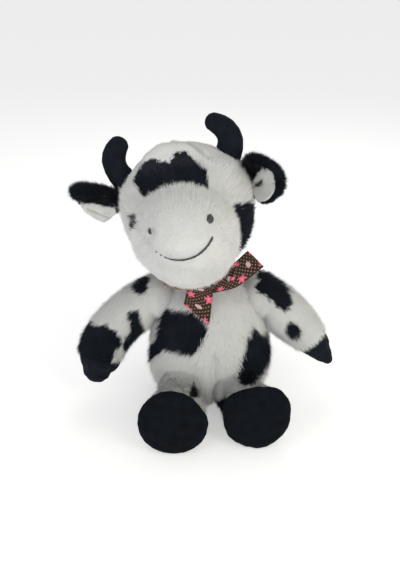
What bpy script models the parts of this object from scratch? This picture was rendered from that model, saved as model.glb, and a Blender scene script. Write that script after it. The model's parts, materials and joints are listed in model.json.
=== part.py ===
"""A seated plush cow: sewn plush skins over fibre stuffing, with velour horns, hands and soles and a ribbon.

Metres, +Z up. The cow looks along -Y and its own right side is towards -X. The origin is the
middle of the flat of its seat, on the surface that it sits on.
"""

import math

import bmesh
import bpy
from mathutils import Euler, Matrix, Vector

# Cloth and clearances
SKIN = 0.003
SEAM_GAP = 0.0003
SWING_GAP = 0.0005
SEAT_FLAT_DEPTH = 0.0005
POLE_RISE = 0.0005

# Torso
TORSO_HEIGHT = 0.124
TORSO_HALF_WIDTH = 0.053
TORSO_HALF_DEPTH = 0.046
NECK_BALL = 0.026
NECK_ASIDE = 0.006
NECK_OPENING = 0.014

# Head, in a frame of its own that stands on the neck and is then turned
HEAD_HALF_WIDTH = 0.055
HEAD_HALF_DEPTH = 0.048
HEAD_HALF_HEIGHT = 0.055
HEAD_RISE = 0.057
HEAD_AHEAD = 0.012
HEAD_TILT = math.radians(13.5)
HEAD_LIFT = math.radians(10)
MUZZLE_RADIUS = 0.041
MUZZLE_AHEAD_OF_HEAD = 0.038
MUZZLE_BELOW_HEAD = 0.0165
MUZZLE_ASIDE = 0.0045

# Embroidery on the muzzle
NOSTRIL_HALF_WIDTH = 0.0024
NOSTRIL_HALF_HEIGHT = 0.0032
STITCH_HEIGHT = 0.0009
SMILE_THREAD_RADIUS = 0.0008
SMILE_TURN = math.radians(2.4)
SMILE_HALF_TURN = math.radians(32.3)
SMILE_END_RISE = math.radians(-0.4)
SMILE_LEAN = math.radians(-0.3)
SMILE_DROP = math.radians(14.7)
SMILE_ROUNDNESS = 2.2

# Horns
RIGHT_HORN_HEIGHT = 0.037
LEFT_HORN_HEIGHT = 0.034
HORN_RADIUS = 0.0112
HORN_BOW = 0.0085
HORN_DEPTH_SHARE = 0.8

# Ears
RIGHT_EAR_LENGTH = 0.046
LEFT_EAR_LENGTH = 0.034
RIGHT_EAR_HALF_WIDTH = 0.0250
LEFT_EAR_HALF_WIDTH = 0.0195
EAR_BACK_THICKNESS = 0.0024
EAR_LINING_THICKNESS = 0.0012
EAR_CUP = math.radians(60)
EAR_BEND = 0.005
EAR_ROLL_RADIUS = 0.0027
EAR_GROOVE_GAP = 0.0010

# Arms
SHOULDER_BALL = 0.0200
SHOULDER_ASIDE = 0.044
SHOULDER_BELOW_NECK = 0.028
ARM_RADIUS = 0.0195
RIGHT_ARM_REACH = 0.055
RIGHT_ARM_DROP = 0.051
RIGHT_ARM_LEAN = 0.017
RIGHT_WRIST_RADIUS = 0.0188
RIGHT_HAND_LENGTH = 0.014
LEFT_ARM_REACH = 0.048
LEFT_ARM_DROP = 0.041
LEFT_ARM_LEAN = 0.005
LEFT_WRIST_RADIUS = 0.0142
LEFT_HAND_LENGTH = 0.026
RIGHT_HAND_TIP_RADIUS = 0.0145
LEFT_HAND_TIP_RADIUS = 0.0050

# Legs
HIP_BALL = 0.0205
THIGH_RADIUS = 0.0182
ANKLE_RADIUS = 0.0250
HIP_ASIDE = 0.0245
HIP_AHEAD = 0.042
RIGHT_LEG_LENGTH = 0.056
LEFT_LEG_LENGTH = 0.048
RIGHT_LEG_SPLAY = 0.0065
LEFT_LEG_SPLAY = 0.0135
SOLE_RADIUS = 0.0290
SOLE_THICKNESS = 0.011

# Tail
TAIL_RADIUS = 0.0045
TAIL_LENGTH = 0.030
TAIL_STAND_OFF = 0.006
TAIL_ROOT_BALL = 0.0055
TUFT_RADIUS = 0.008
TUFT_LENGTH = 0.020

# Pellet bag in the seat
BAG_HALF_HEIGHT = 0.009

# Ribbon
RIBBON_WIDTH = 0.022
RIBBON_THICKNESS = 0.0006
BAND_HEIGHT = 0.007
BAND_BELOW_NECK = 0.0065
BAND_THICKNESS = 0.0015
KNOT_HALF_WIDTH = 0.0075
KNOT_HALF_DEPTH = 0.0045
KNOT_HALF_HEIGHT = 0.0055
KNOT_ASIDE = 0.002
FRONT_TAIL_LENGTH = 0.036
FRONT_TAIL_ASIDE = 0.004
FRONT_TAIL_LIFT = 0.004
SIDE_TAIL_LENGTH = 0.050

# Fineness of the meshes
TORSO_SIDES = 24
HEAD_SIDES = 24
LIMB_SIDES = 18
LINING_SIDES = 14
SMALL_SIDES = 10
TORSO_RINGS = 13
HEAD_RINGS = 13
LIMB_RINGS = 8
LINING_RINGS = 6
CAP_RINGS = 3
BALL_RINGS = 8
MUZZLE_RINGS = 12
DISH_RINGS = 8
ARM_CELLS = 2
BAND_POINTS = 36
SMILE_POINTS = 21
CUT_OVERRUN = 0.004

SIDES = ((-1, "right"), (1, "left"))

# Shares of height, half width and half depth up the torso
TORSO_SHARES = [
    (0.000, 0.520, 0.560),
    (0.035, 0.740, 0.760),
    (0.100, 0.900, 0.880),
    (0.200, 0.990, 0.970),
    (0.320, 1.000, 1.000),
    (0.450, 0.985, 0.990),
    (0.580, 0.950, 0.940),
    (0.700, 0.890, 0.850),
    (0.785, 0.800, 0.740),
    (0.850, 0.670, 0.600),
    (0.900, 0.470, 0.420),
]

# Shares of half height, half width and half depth up the head
HEAD_SHARES = [
    (-0.97, 0.30, 0.30),
    (-0.88, 0.56, 0.54),
    (-0.70, 0.76, 0.75),
    (-0.40, 0.93, 0.93),
    (-0.05, 1.00, 1.00),
    (0.25, 0.99, 0.97),
    (0.50, 0.90, 0.86),
    (0.74, 0.70, 0.66),
    (0.90, 0.45, 0.42),
    (0.98, 0.20, 0.19),
]


# Shares of the torso's half width and half depth that the pellet bag takes
BAG_WIDTH_SHARE = 0.56
BAG_DEPTH_SHARE = 0.44

# How far aside of the muzzle's front each nostril is, and how far up
NOSTRIL_PLACES = {
    "right": (math.radians(-34.5), math.radians(21.3)),
    "left": (math.radians(41), math.radians(19.6)),
}

# Shares of stitch height and half width up a nostril
NOSTRIL_SHARES = [(0.0, 1.0), (0.6, 0.92), (1.0, 0.55)]

HORN_HEIGHTS = {"right": RIGHT_HORN_HEIGHT, "left": LEFT_HORN_HEIGHT}

# Shares of the head's half width, depth and height where each horn starts
HORN_BASE_SHARES = {"right": (0.76, 0.05, 0.50), "left": (0.72, 0.05, 0.54)}

# Shares of height, bow and radius up a horn
HORN_SHARES = [
    (0.00, 0.00, 1.06),
    (0.30, 0.75, 1.02),
    (0.58, 1.00, 0.98),
    (0.82, 0.65, 0.92),
    (1.00, -0.05, 0.78),
]

# Each row is a place along an ear, then the share of its half width or of its cup there
EAR_WIDTH_SHARES = [
    (0.00, 0.38),
    (0.15, 0.60),
    (0.40, 0.97),
    (0.60, 1.00),
    (0.80, 0.84),
    (0.93, 0.54),
    (1.00, 0.16),
]
EAR_CUP_SHARES = [(0.0, 0.25), (0.2, 0.6), (0.45, 1.0), (0.75, 1.0), (1.0, 0.6)]

# Lines of an ear's mesh along and across it. The lining leaves out the outermost ones
EAR_ALONG_SHARES = [0.0, 0.16, 0.30, 0.44, 0.58, 0.72, 0.84, 0.94, 1.0]
EAR_ACROSS_SHARES = [-1.0, -0.9, -0.6, -0.3, 0.0, 0.3, 0.6, 0.9, 1.0]

# Length and half width of each ear
EAR_SIZES = {
    "right": (RIGHT_EAR_LENGTH, RIGHT_EAR_HALF_WIDTH),
    "left": (LEFT_EAR_LENGTH, LEFT_EAR_HALF_WIDTH),
}

# How far each ear is flopped forward, and its seam rolled face down
EAR_POSES = {
    "right": (math.radians(-27), math.radians(57)),
    "left": (math.radians(36), math.radians(11)),
}

# Shares of the head's half height and half depth at each ear's root
EAR_ROOT_HEIGHT_SHARES = {"right": 0.34, "left": 0.29}
EAR_ROOT_DEPTH_SHARE = 0.08

# Reach, drop, lean, wrist radius, hand length and hand tip radius of each arm
ARM_SIZES = {
    "right": (
        RIGHT_ARM_REACH,
        RIGHT_ARM_DROP,
        RIGHT_ARM_LEAN,
        RIGHT_WRIST_RADIUS,
        RIGHT_HAND_LENGTH,
        RIGHT_HAND_TIP_RADIUS,
    ),
    "left": (
        LEFT_ARM_REACH,
        LEFT_ARM_DROP,
        LEFT_ARM_LEAN,
        LEFT_WRIST_RADIUS,
        LEFT_HAND_LENGTH,
        LEFT_HAND_TIP_RADIUS,
    ),
}

# Shares of reach, drop and lean along each sleeve, and how far its radius has gone to the wrist's
ARM_SHARES = {
    "right": [
        (0.00, 0.00, 0.00, 0.00),
        (0.30, 0.15, 0.08, 0.00),
        (0.58, 0.36, 0.30, 0.00),
        (0.82, 0.61, 0.60, 0.15),
        (0.96, 0.84, 0.86, 0.60),
        (1.00, 1.00, 1.00, 1.00),
    ],
    "left": [
        (0.00, 0.00, 0.00, 0.00),
        (0.30, 0.22, 0.10, 0.00),
        (0.56, 0.48, 0.35, 0.10),
        (0.78, 0.72, 0.60, 0.40),
        (0.92, 0.89, 0.84, 0.75),
        (1.00, 1.00, 1.00, 1.00),
    ],
}

# Shares of length along a hand, and how far its radius has gone to the tip's
HAND_SHARES = [(0.50, 0.18), (1.00, 1.00)]

# Length and splay of each leg
LEG_SIZES = {
    "right": (RIGHT_LEG_LENGTH, RIGHT_LEG_SPLAY),
    "left": (LEFT_LEG_LENGTH, LEFT_LEG_SPLAY),
}

# Shares of length along a leg, and how far its radius has gone from the thigh's to the ankle's
LEG_SHARES = [(0.0, 0.0), (0.4, 0.15), (0.75, 0.75), (1.0, 1.0)]

# Shares of thickness and radius from the back of a sole to its front
SOLE_SHARES = [(0.0, 0.96), (0.3, 1.0), (0.6, 0.96), (0.82, 0.84), (0.94, 0.62), (1.0, 0.3)]

# Shares of stand-off and length down the tail, then of length and radius down the tuft
TAIL_HEIGHT_SHARE = 0.47
TAIL_SHARES = [(0.0, 0.0), (0.75, 0.10), (1.0, 0.35), (1.0, 1.0)]
TUFT_SHARES = [(0.0, 0.60), (0.4, 1.0), (0.8, 0.85), (1.0, 0.5)]

# Shares of length, lift and width down the front tail, and how far down its short edge ends
FRONT_TAIL_SHARES = [
    (0.00, 0.00, 0.70),
    (0.15, 0.00, 0.92),
    (0.32, 0.12, 1.00),
    (0.55, 0.55, 1.00),
    (0.78, 0.88, 1.00),
    (1.00, 1.00, 1.00),
]
FRONT_TAIL_SLANT_SHARE = 0.44

# Shares of the side tail's length, from the knot, at its lower and upper edge
SIDE_TAIL_SHARES = [
    ((0.00, 0.00, -0.08), (0.00, 0.00, 0.08)),
    ((0.16, -0.14, 0.02), (0.12, -0.08, 0.26)),
    ((0.42, -0.16, 0.10), (0.30, -0.04, 0.42)),
    ((0.66, -0.10, 0.26), (0.47, 0.04, 0.55)),
    ((0.89, 0.00, 0.42), (0.62, 0.12, 0.66)),
]


def clear_scene():
    for thing in list(bpy.data.objects):
        bpy.data.objects.remove(thing, do_unlink=True)


def finish_material(name, colour, roughness):
    material = bpy.data.materials.new(name)
    material.use_nodes = True
    shader = material.node_tree.nodes["Principled BSDF"]
    shader.inputs["Base Color"].default_value = (*colour, 1.0)
    shader.inputs["Roughness"].default_value = roughness
    shader.inputs["Metallic"].default_value = 0.0
    return material


MATERIAL_VALUES = {
    "plush_white": ((0.80, 0.79, 0.77), 0.95),
    "plush_black": ((0.012, 0.013, 0.018), 0.90),
    "velour_black": ((0.010, 0.011, 0.016), 0.80),
    "velour_white": ((0.76, 0.75, 0.72), 0.85),
    "stuffing": ((0.88, 0.88, 0.87), 0.95),
    "pellet_cloth": ((0.70, 0.68, 0.62), 0.85),
    "thread_black": ((0.015, 0.015, 0.018), 0.60),
    "ribbon_brown": ((0.060, 0.025, 0.018), 0.55),
}


def smooth_place(rows, position):
    """The row at a fractional row number, on a Catmull-Rom curve through the rows."""
    last = len(rows) - 1
    start = min(int(position), last - 1)
    share = position - start
    before = rows[max(start - 1, 0)]
    first = rows[start]
    second = rows[start + 1]
    after = rows[min(start + 2, last)]
    found = []
    for a, b, c, d in zip(before, first, second, after):
        curve = 2 * b + (c - a) * share
        curve += (2 * a - 5 * b + 4 * c - d) * share**2
        curve += (3 * b - a - 3 * c + d) * share**3
        found.append(curve / 2)
    return found


def smooth_rows(rows, count):
    last = len(rows) - 1
    return [smooth_place(rows, last * i / (count - 1)) for i in range(count)]


def new_object(name, mesh, material=None, parent=None):
    thing = bpy.data.objects.new(name, mesh)
    bpy.context.collection.objects.link(thing)
    if material is not None:
        mesh.materials.append(material)
    thing.parent = parent
    mesh.shade_smooth()
    return thing


def mark_as_cutter(thing):
    thing.hide_render = True
    thing.display_type = "WIRE"
    return thing


def finished_mesh(name, shape):
    """The mesh of a closed shape, its faces turned outwards."""
    bmesh.ops.recalc_face_normals(shape, faces=shape.faces)
    if shape.calc_volume(signed=True) < 0:
        bmesh.ops.reverse_faces(shape, faces=shape.faces)
    mesh = bpy.data.meshes.new(name)
    shape.to_mesh(mesh)
    shape.free()
    return mesh


def skin_rings(name, rings, start_pole=None, end_pole=None):
    """A closed mesh through rings of points, each end closed by a pole or by one flat face."""
    shape = bmesh.new()
    rows = [[shape.verts.new(point) for point in ring] for ring in rings]
    sides = len(rows[0])
    for low, high in zip(rows, rows[1:]):
        for i in range(sides):
            j = (i + 1) % sides
            shape.faces.new((low[i], low[j], high[j], high[i]))
    for pole, row in ((start_pole, rows[0][::-1]), (end_pole, rows[-1])):
        if pole is None:
            shape.faces.new(row)
            continue
        tip = shape.verts.new(pole)
        for i in range(sides):
            shape.faces.new((row[i], row[(i + 1) % sides], tip))
    return finished_mesh(name, shape)


def standing_form(name, rows, sides, centre, grow=0.0, flat_bottom=False):
    """Level oval rings. Each row is (z, half width, half depth), and grow moves the surface out."""
    rings = []
    for z, half_width, half_depth in rows:
        ring = []
        for i in range(sides):
            turn = 2 * math.pi * i / sides
            x = (half_width + grow) * math.cos(turn)
            y = (half_depth + grow) * math.sin(turn)
            ring.append(centre + Vector((x, y, z)))
        rings.append(ring)
    step_up = rows[-1][0] - rows[-2][0]
    top = centre + Vector((0, 0, rows[-1][0] + step_up / 2 + grow))
    bottom = centre + Vector((0, 0, rows[0][0] - POLE_RISE - grow))
    return skin_rings(name, rings, None if flat_bottom else bottom, top)


def turned_to(axis):
    """The rotation that carries +Z to the axis."""
    return Vector((0, 0, 1)).rotation_difference(axis).to_matrix()


def ball_mesh(name, centre, radii, sides, rings, axis=Vector((0, 0, 1))):
    """A ball whose poles lie on the axis, so that it turns in its socket without catching."""
    rotation = turned_to(axis)
    points = []
    for i in range(1, rings):
        rise = -radii[2] * math.cos(math.pi * i / rings)
        width = math.sin(math.pi * i / rings)
        ring = []
        for j in range(sides):
            turn = 2 * math.pi * j / sides
            x = radii[0] * width * math.cos(turn)
            y = radii[1] * width * math.sin(turn)
            ring.append(centre + rotation @ Vector((x, y, rise)))
        points.append(ring)
    pole = rotation @ Vector((0, 0, radii[2]))
    return skin_rings(name, points, centre - pole, centre + pole)


def across_directions(direction, flat_towards):
    side = direction.cross(flat_towards).normalized()
    other = side.cross(direction).normalized()
    return side, other


def stations_along(rows, count):
    """Centre, radius and way on at places along a smooth path. Each row is (x, y, z, radius)."""
    places = smooth_rows(rows, count)
    centres = [Vector(place[:3]) for place in places]
    stations = []
    for i, centre in enumerate(centres):
        before = centres[max(i - 1, 0)]
        after = centres[min(i + 1, count - 1)]
        stations.append((centre, places[i][3], (after - before).normalized()))
    return stations


def moved_on(station, far):
    centre, radius, way = station
    return (centre + way * far, radius, way)


def half_ball(station, radius, direction):
    """The stations of a round cap, from its rim, and its pole."""
    centre, _, way = station
    caps = []
    for i in range(1, CAP_RINGS):
        lean = math.pi / 2 * i / CAP_RINGS
        far = direction * radius * math.sin(lean)
        caps.append((centre + way * far, radius * math.cos(lean), way))
    return caps, centre + way * direction * radius


def swelling_limb(
    name,
    stations,
    sides,
    grow=0.0,
    round_start=False,
    round_end=False,
    flatness=1.0,
    flat_towards=Vector((0, 1, 0)),
):
    """Round rings at stations along a path. A round end is a half ball past the last one."""
    grown = [(centre, radius + grow, way) for centre, radius, way in stations]
    start_pole = None
    end_pole = None
    caps = []
    ends = []
    if round_start:
        caps, start_pole = half_ball(grown[0], grown[0][1], -1)
    if round_end:
        ends, end_pole = half_ball(grown[-1], grown[-1][1], 1)
    points = []
    for centre, radius, way in caps[::-1] + grown + ends:
        side, other = across_directions(way, flat_towards)
        ring = []
        for i in range(sides):
            turn = 2 * math.pi * i / sides
            wide = side * radius * math.cos(turn)
            deep = other * radius * flatness * math.sin(turn)
            ring.append(centre + wide + deep)
        points.append(ring)
    return skin_rings(name, points, start_pole, end_pole)


def rod_mesh(name, low, high, radius, sides):
    return swelling_limb(name, stations_along([(*low, radius), (*high, radius)], 2), sides)


def combine(thing, other, operation):
    cut = thing.modifiers.new(f"{operation.lower()} {other.name}", "BOOLEAN")
    cut.operation = operation
    cut.object = other
    cut.solver = "EXACT"


def take_away(thing, *others):
    for other in others:
        combine(thing, other, "DIFFERENCE")


def join_on(thing, *others):
    for other in others:
        combine(thing, other, "UNION")


def helper(name, mesh, parent=None):
    return mark_as_cutter(new_object(name, mesh, parent=parent))


def block_mesh(name, low, high):
    corners = [(low[0], low[1]), (high[0], low[1]), (high[0], high[1]), (low[0], high[1])]
    rings = [[Vector((x, y, z)) for x, y in corners] for z in (low[2], high[2])]
    return skin_rings(name, rings)


def torso_rows(count):
    rows = [
        (share * TORSO_HEIGHT, wide * TORSO_HALF_WIDTH, deep * TORSO_HALF_DEPTH)
        for share, wide, deep in TORSO_SHARES
    ]
    return smooth_rows(rows, count)


def torso_half_width_at(height):
    rows = torso_rows(4 * TORSO_RINGS)
    return min(rows, key=lambda row: abs(row[0] - height))[1]


def torso_half_depth_at(height):
    rows = torso_rows(4 * TORSO_RINGS)
    return min(rows, key=lambda row: abs(row[0] - height))[2]


def head_rows(count):
    rows = [
        (share * HEAD_HALF_HEIGHT, wide * HEAD_HALF_WIDTH, deep * HEAD_HALF_DEPTH)
        for share, wide, deep in HEAD_SHARES
    ]
    return smooth_rows(rows, count)


def head_half_width_at(height):
    rows = head_rows(4 * HEAD_RINGS)
    return min(rows, key=lambda row: abs(row[0] - height))[1]


def neck_place():
    return Vector((-NECK_ASIDE, 0, TORSO_HEIGHT))


def shoulder_place(side):
    return Vector((side * SHOULDER_ASIDE, 0, TORSO_HEIGHT - SHOULDER_BELOW_NECK))


def hip_place(side):
    return Vector((side * HIP_ASIDE, -HIP_AHEAD, HIP_BALL + SEAT_FLAT_DEPTH))


def joint_frame(name, place, rotation=Euler((0, 0, 0))):
    empty = bpy.data.objects.new(name, None)
    empty.location = place
    empty.rotation_euler = rotation
    bpy.context.collection.objects.link(empty)
    return empty


def head_rotation():
    tilt = Matrix.Rotation(-HEAD_TILT, 3, "Y")
    lift = Matrix.Rotation(-HEAD_LIFT, 3, "X")
    return (tilt @ lift).to_euler()


def torso_inside(name, gap, sides):
    """The space inside the torso skin, or with a gap the stuffing that fills it."""
    wall = SKIN + gap
    squeeze = (TORSO_HEIGHT - 2 * wall) / TORSO_HEIGHT
    rows = [(wall + z * squeeze, wide, deep) for z, wide, deep in torso_rows(LINING_RINGS + 3)]
    return standing_form(name, rows, sides, Vector((0, 0, 0)), grow=-wall, flat_bottom=True)


def neck_plug(name, radius, top):
    low = neck_place() - Vector((0, 0, NECK_BALL))
    high = neck_place() + Vector((0, 0, top))
    return rod_mesh(name, low, high, radius, LINING_SIDES)


def seat_bag_place():
    return Vector((0, TORSO_HALF_DEPTH / 4, SKIN + SEAM_GAP + BAG_HALF_HEIGHT))


def seat_bag_radii(grow):
    wide = TORSO_HALF_WIDTH * BAG_WIDTH_SHARE + grow
    deep = TORSO_HALF_DEPTH * BAG_DEPTH_SHARE + grow
    return (wide, deep, BAG_HALF_HEIGHT + grow)


def make_sockets():
    """The hollow that each ball-shaped limb root turns in, with poles on its joint's axis."""
    sideways = Vector((1, 0, 0))
    ahead = Vector((0, 1, 0))
    sockets = {}
    for side, word in SIDES:
        for root, place, ball in (
            ("shoulder", shoulder_place(side), SHOULDER_BALL),
            ("hip", hip_place(side), HIP_BALL),
        ):
            name = f"{root}_socket_{word}"
            radii = (ball + SWING_GAP,) * 3
            mesh = ball_mesh(name, place, radii, LIMB_SIDES, BALL_RINGS, sideways)
            sockets[name] = helper(name, mesh)
    radii = (NECK_BALL + SWING_GAP,) * 3
    mesh = ball_mesh("neck_socket", neck_place(), radii, LIMB_SIDES, BALL_RINGS, ahead)
    sockets["neck_socket"] = helper("neck_socket", mesh)
    return sockets


def make_torso(finish, sockets):
    skin_mesh = standing_form(
        "torso_skin", torso_rows(TORSO_RINGS), TORSO_SIDES, Vector((0, 0, 0)), flat_bottom=True
    )
    skin = new_object("torso_skin", skin_mesh, finish["plush_white"])
    ball = ball_mesh(
        "neck_ball", neck_place(), (NECK_BALL,) * 3, LIMB_SIDES, BALL_RINGS, Vector((0, 1, 0))
    )
    join_on(skin, helper("neck_ball", ball))
    hollow = helper("torso_hollow", torso_inside("torso_hollow", 0.0, LINING_SIDES))
    opening = helper(
        "neck_opening", neck_plug("neck_opening", NECK_OPENING, NECK_BALL + CUT_OVERRUN)
    )
    roots = [sockets[name] for name in sockets if name != "neck_socket"]
    take_away(skin, hollow, opening, *roots)

    bag_mesh = ball_mesh(
        "seat_pellet_bag", seat_bag_place(), seat_bag_radii(0.0), LINING_SIDES, LINING_RINGS
    )
    new_object("seat_pellet_bag", bag_mesh, finish["pellet_cloth"])
    bag_room_mesh = ball_mesh(
        "seat_bag_room", seat_bag_place(), seat_bag_radii(SEAM_GAP), LINING_SIDES, LINING_RINGS
    )
    bag_room = helper("seat_bag_room", bag_room_mesh)

    stuffing_mesh = torso_inside("torso_stuffing", SEAM_GAP, LINING_SIDES)
    stuffing = new_object("torso_stuffing", stuffing_mesh, finish["stuffing"])
    plug_top = math.sqrt((NECK_BALL - 2 * SWING_GAP) ** 2 - NECK_OPENING**2)
    plug = helper("neck_plug", neck_plug("neck_plug", NECK_OPENING - SEAM_GAP, plug_top))
    join_on(stuffing, plug)
    take_away(stuffing, bag_room, *roots)


def head_middle():
    return Vector((0, -HEAD_AHEAD, HEAD_RISE))


def head_inside(name, gap):
    wall = SKIN + gap
    squeeze = (HEAD_HALF_HEIGHT - wall) / HEAD_HALF_HEIGHT
    rows = [(z * squeeze, wide, deep) for z, wide, deep in head_rows(LINING_RINGS + 3)]
    return standing_form(name, rows, LINING_SIDES, head_middle(), grow=-wall)


def muzzle_middle():
    return head_middle() + Vector((-MUZZLE_ASIDE, -MUZZLE_AHEAD_OF_HEAD, -MUZZLE_BELOW_HEAD))


def muzzle_direction(turn, rise):
    """Unit vector from the muzzle's middle, turned aside and raised from straight ahead."""
    level = math.cos(rise)
    return Vector((level * math.sin(turn), -level * math.cos(turn), math.sin(rise)))


def make_head(finish, frame, sockets):
    middle = head_middle()
    skin_mesh = standing_form("head_skin", head_rows(HEAD_RINGS), HEAD_SIDES, middle)
    skin = new_object("head_skin", skin_mesh, finish["plush_white"], frame)
    hollow = helper("head_hollow", head_inside("head_hollow", 0.0), frame)
    take_away(skin, sockets["neck_socket"], hollow)

    stuffing_mesh = head_inside("head_stuffing", SEAM_GAP)
    stuffing = new_object("head_stuffing", stuffing_mesh, finish["stuffing"], frame)
    take_away(stuffing, sockets["neck_socket"])

    room_mesh = standing_form(
        "head_room", head_rows(HEAD_RINGS), HEAD_SIDES, middle, grow=SEAM_GAP
    )
    room = helper("head_room", room_mesh, frame)
    make_muzzle(finish, frame, room, sockets["neck_socket"])
    for side, word in SIDES:
        make_horn(finish, frame, room, side, word)
        groove = make_ear(finish, frame, side, word)
        take_away(skin, groove)


def make_muzzle(finish, frame, head_room, neck_socket):
    middle = muzzle_middle()
    ahead = Vector((0, -1, 0))
    skin_mesh = ball_mesh(
        "muzzle_skin", middle, (MUZZLE_RADIUS,) * 3, HEAD_SIDES, MUZZLE_RINGS, ahead
    )
    skin = new_object("muzzle_skin", skin_mesh, finish["plush_white"], frame)
    inner = MUZZLE_RADIUS - SKIN
    hollow_mesh = ball_mesh(
        "muzzle_hollow", middle, (inner,) * 3, LIMB_SIDES, LINING_RINGS + 3, ahead
    )
    hollow = helper("muzzle_hollow", hollow_mesh, frame)
    take_away(skin, hollow, head_room, neck_socket)

    inner -= SEAM_GAP
    stuffing_mesh = ball_mesh(
        "muzzle_stuffing", middle, (inner,) * 3, LIMB_SIDES, LINING_RINGS + 3, ahead
    )
    stuffing = new_object("muzzle_stuffing", stuffing_mesh, finish["stuffing"], frame)
    take_away(stuffing, head_room, neck_socket)

    for word, (turn, rise) in NOSTRIL_PLACES.items():
        make_nostril(finish, frame, word, muzzle_direction(turn, rise))
    make_smile(finish, frame)


def make_nostril(finish, frame, word, outward):
    """A raised oval of satin stitch that lies on the muzzle."""
    name = f"nostril_{word}"
    seat = muzzle_middle() + outward * (MUZZLE_RADIUS + SEAM_GAP)
    across = outward.cross(Vector((0, 0, 1))).normalized()
    upward = across.cross(outward).normalized()
    rings = []
    for height_share, width_share in NOSTRIL_SHARES:
        ring = []
        for i in range(SMALL_SIDES):
            turn = 2 * math.pi * i / SMALL_SIDES
            flat = across * NOSTRIL_HALF_WIDTH * math.cos(turn)
            flat = flat + upward * NOSTRIL_HALF_HEIGHT * math.sin(turn)
            ring.append(seat + flat * width_share + outward * STITCH_HEIGHT * height_share)
        rings.append(ring)
    new_object(name, skin_rings(name, rings), finish["thread_black"], frame)


def make_smile(finish, frame):
    """One line of thread along the muzzle, its ends turned up."""
    curve = bpy.data.curves.new("smile_thread", "CURVE")
    curve.dimensions = "3D"
    curve.bevel_depth = SMILE_THREAD_RADIUS
    curve.bevel_resolution = 1
    curve.use_fill_caps = True
    spline = curve.splines.new("POLY")
    spline.points.add(SMILE_POINTS - 1)
    lift = MUZZLE_RADIUS + SEAM_GAP + SMILE_THREAD_RADIUS
    for i, point in enumerate(spline.points):
        share = 2 * i / (SMILE_POINTS - 1) - 1
        rise = SMILE_END_RISE - SMILE_DROP * (1 - abs(share) ** SMILE_ROUNDNESS)
        rise += SMILE_LEAN * share
        outward = muzzle_direction(SMILE_TURN + share * SMILE_HALF_TURN, rise)
        place = muzzle_middle() + outward * lift
        point.co = (*place, 1.0)
    smile = bpy.data.objects.new("smile_thread", curve)
    bpy.context.collection.objects.link(smile)
    curve.materials.append(finish["thread_black"])
    smile.parent = frame


def make_horn(finish, frame, head_room, side, word):
    name = f"horn_{word}"
    height = HORN_HEIGHTS[word]
    wide_share, deep_share, high_share = HORN_BASE_SHARES[word]
    base = head_middle() + Vector(
        (
            side * HEAD_HALF_WIDTH * wide_share,
            HEAD_HALF_DEPTH * deep_share,
            HEAD_HALF_HEIGHT * high_share,
        )
    )
    rows = []
    for up_share, bow_share, radius_share in HORN_SHARES:
        x = base.x + side * HORN_BOW * bow_share
        rows.append((x, base.y, base.z + height * up_share, HORN_RADIUS * radius_share))
    stations = stations_along(rows, LIMB_RINGS)
    mesh = swelling_limb(name, stations, LINING_SIDES, round_end=True, flatness=HORN_DEPTH_SHARE)
    horn = new_object(name, mesh, finish["velour_black"], frame)
    take_away(horn, head_room)


def ear_rotation(side, word):
    """The seam stays against the head: it is rolled first, and the ear then flops about it."""
    flop, rolled = EAR_POSES[word]
    roll = Matrix.Rotation(rolled, 3, "X")
    return (roll @ Matrix.Rotation(-side * flop, 3, "Z")).to_euler()


def ear_root_place(side, word):
    height = HEAD_HALF_HEIGHT * EAR_ROOT_HEIGHT_SHARES[word]
    aside = head_half_width_at(height) + EAR_ROLL_RADIUS / 2
    return head_middle() + Vector((side * aside, HEAD_HALF_DEPTH * EAR_ROOT_DEPTH_SHARE, height))


def ear_point(side, size, along, across, offset):
    """A point of the cupped leaf: along from root to tip, across from edge to edge."""
    length, widest = size
    half_width = widest * smooth_share(EAR_WIDTH_SHARES, along)
    cup = EAR_CUP * smooth_share(EAR_CUP_SHARES, along)
    radius = half_width / cup
    turn = cup * across
    y = radius * (math.cos(turn) - 1) - EAR_BEND * along**2 + offset * math.cos(turn)
    z = (radius + offset) * math.sin(turn)
    return Vector((side * length * along, y, z))


def smooth_share(table, position):
    """The value at a position between 0 and 1 on the smooth curve through (position, value) rows."""
    for number, (low, high) in enumerate(zip(table, table[1:])):
        if position <= high[0]:
            share = (position - low[0]) / (high[0] - low[0])
            return smooth_place(table, number + share)[1]
    return table[-1][1]


def ear_layer(name, side, size, lengthways, widthways, offsets):
    """A closed sheet of cloth between two offsets from the leaf, with a rim all round."""
    shape = bmesh.new()
    sheets = []
    for offset in offsets:
        sheet = []
        for along in lengthways:
            points = [ear_point(side, size, along, across, offset) for across in widthways]
            sheet.append([shape.verts.new(point) for point in points])
        sheets.append(sheet)
    last = len(lengthways) - 1
    wide = len(widthways) - 1
    for sheet in sheets:
        for i in range(last):
            for j in range(wide):
                corner = (sheet[i][j], sheet[i + 1][j], sheet[i + 1][j + 1], sheet[i][j + 1])
                shape.faces.new(corner)
    rim = [(0, j) for j in range(wide)]
    rim += [(i, wide) for i in range(last)]
    rim += [(last, j) for j in range(wide, 0, -1)]
    rim += [(i, 0) for i in range(last, 0, -1)]
    low, high = sheets
    for (a, b), (c, d) in zip(rim, rim[1:] + rim[:1]):
        shape.faces.new((low[a][b], low[c][d], high[c][d], high[a][b]))
    return finished_mesh(name, shape)


def ear_roll_mesh(name, widest, grow):
    """The rolled seam at an ear's root, which is the line that the ear flops about."""
    half = widest * EAR_WIDTH_SHARES[0][1]
    radius = EAR_ROLL_RADIUS + grow
    low = Vector((0, 0, -half - grow))
    high = Vector((0, 0, half + grow))
    return rod_mesh(name, low, high, radius, SMALL_SIDES)


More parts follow.
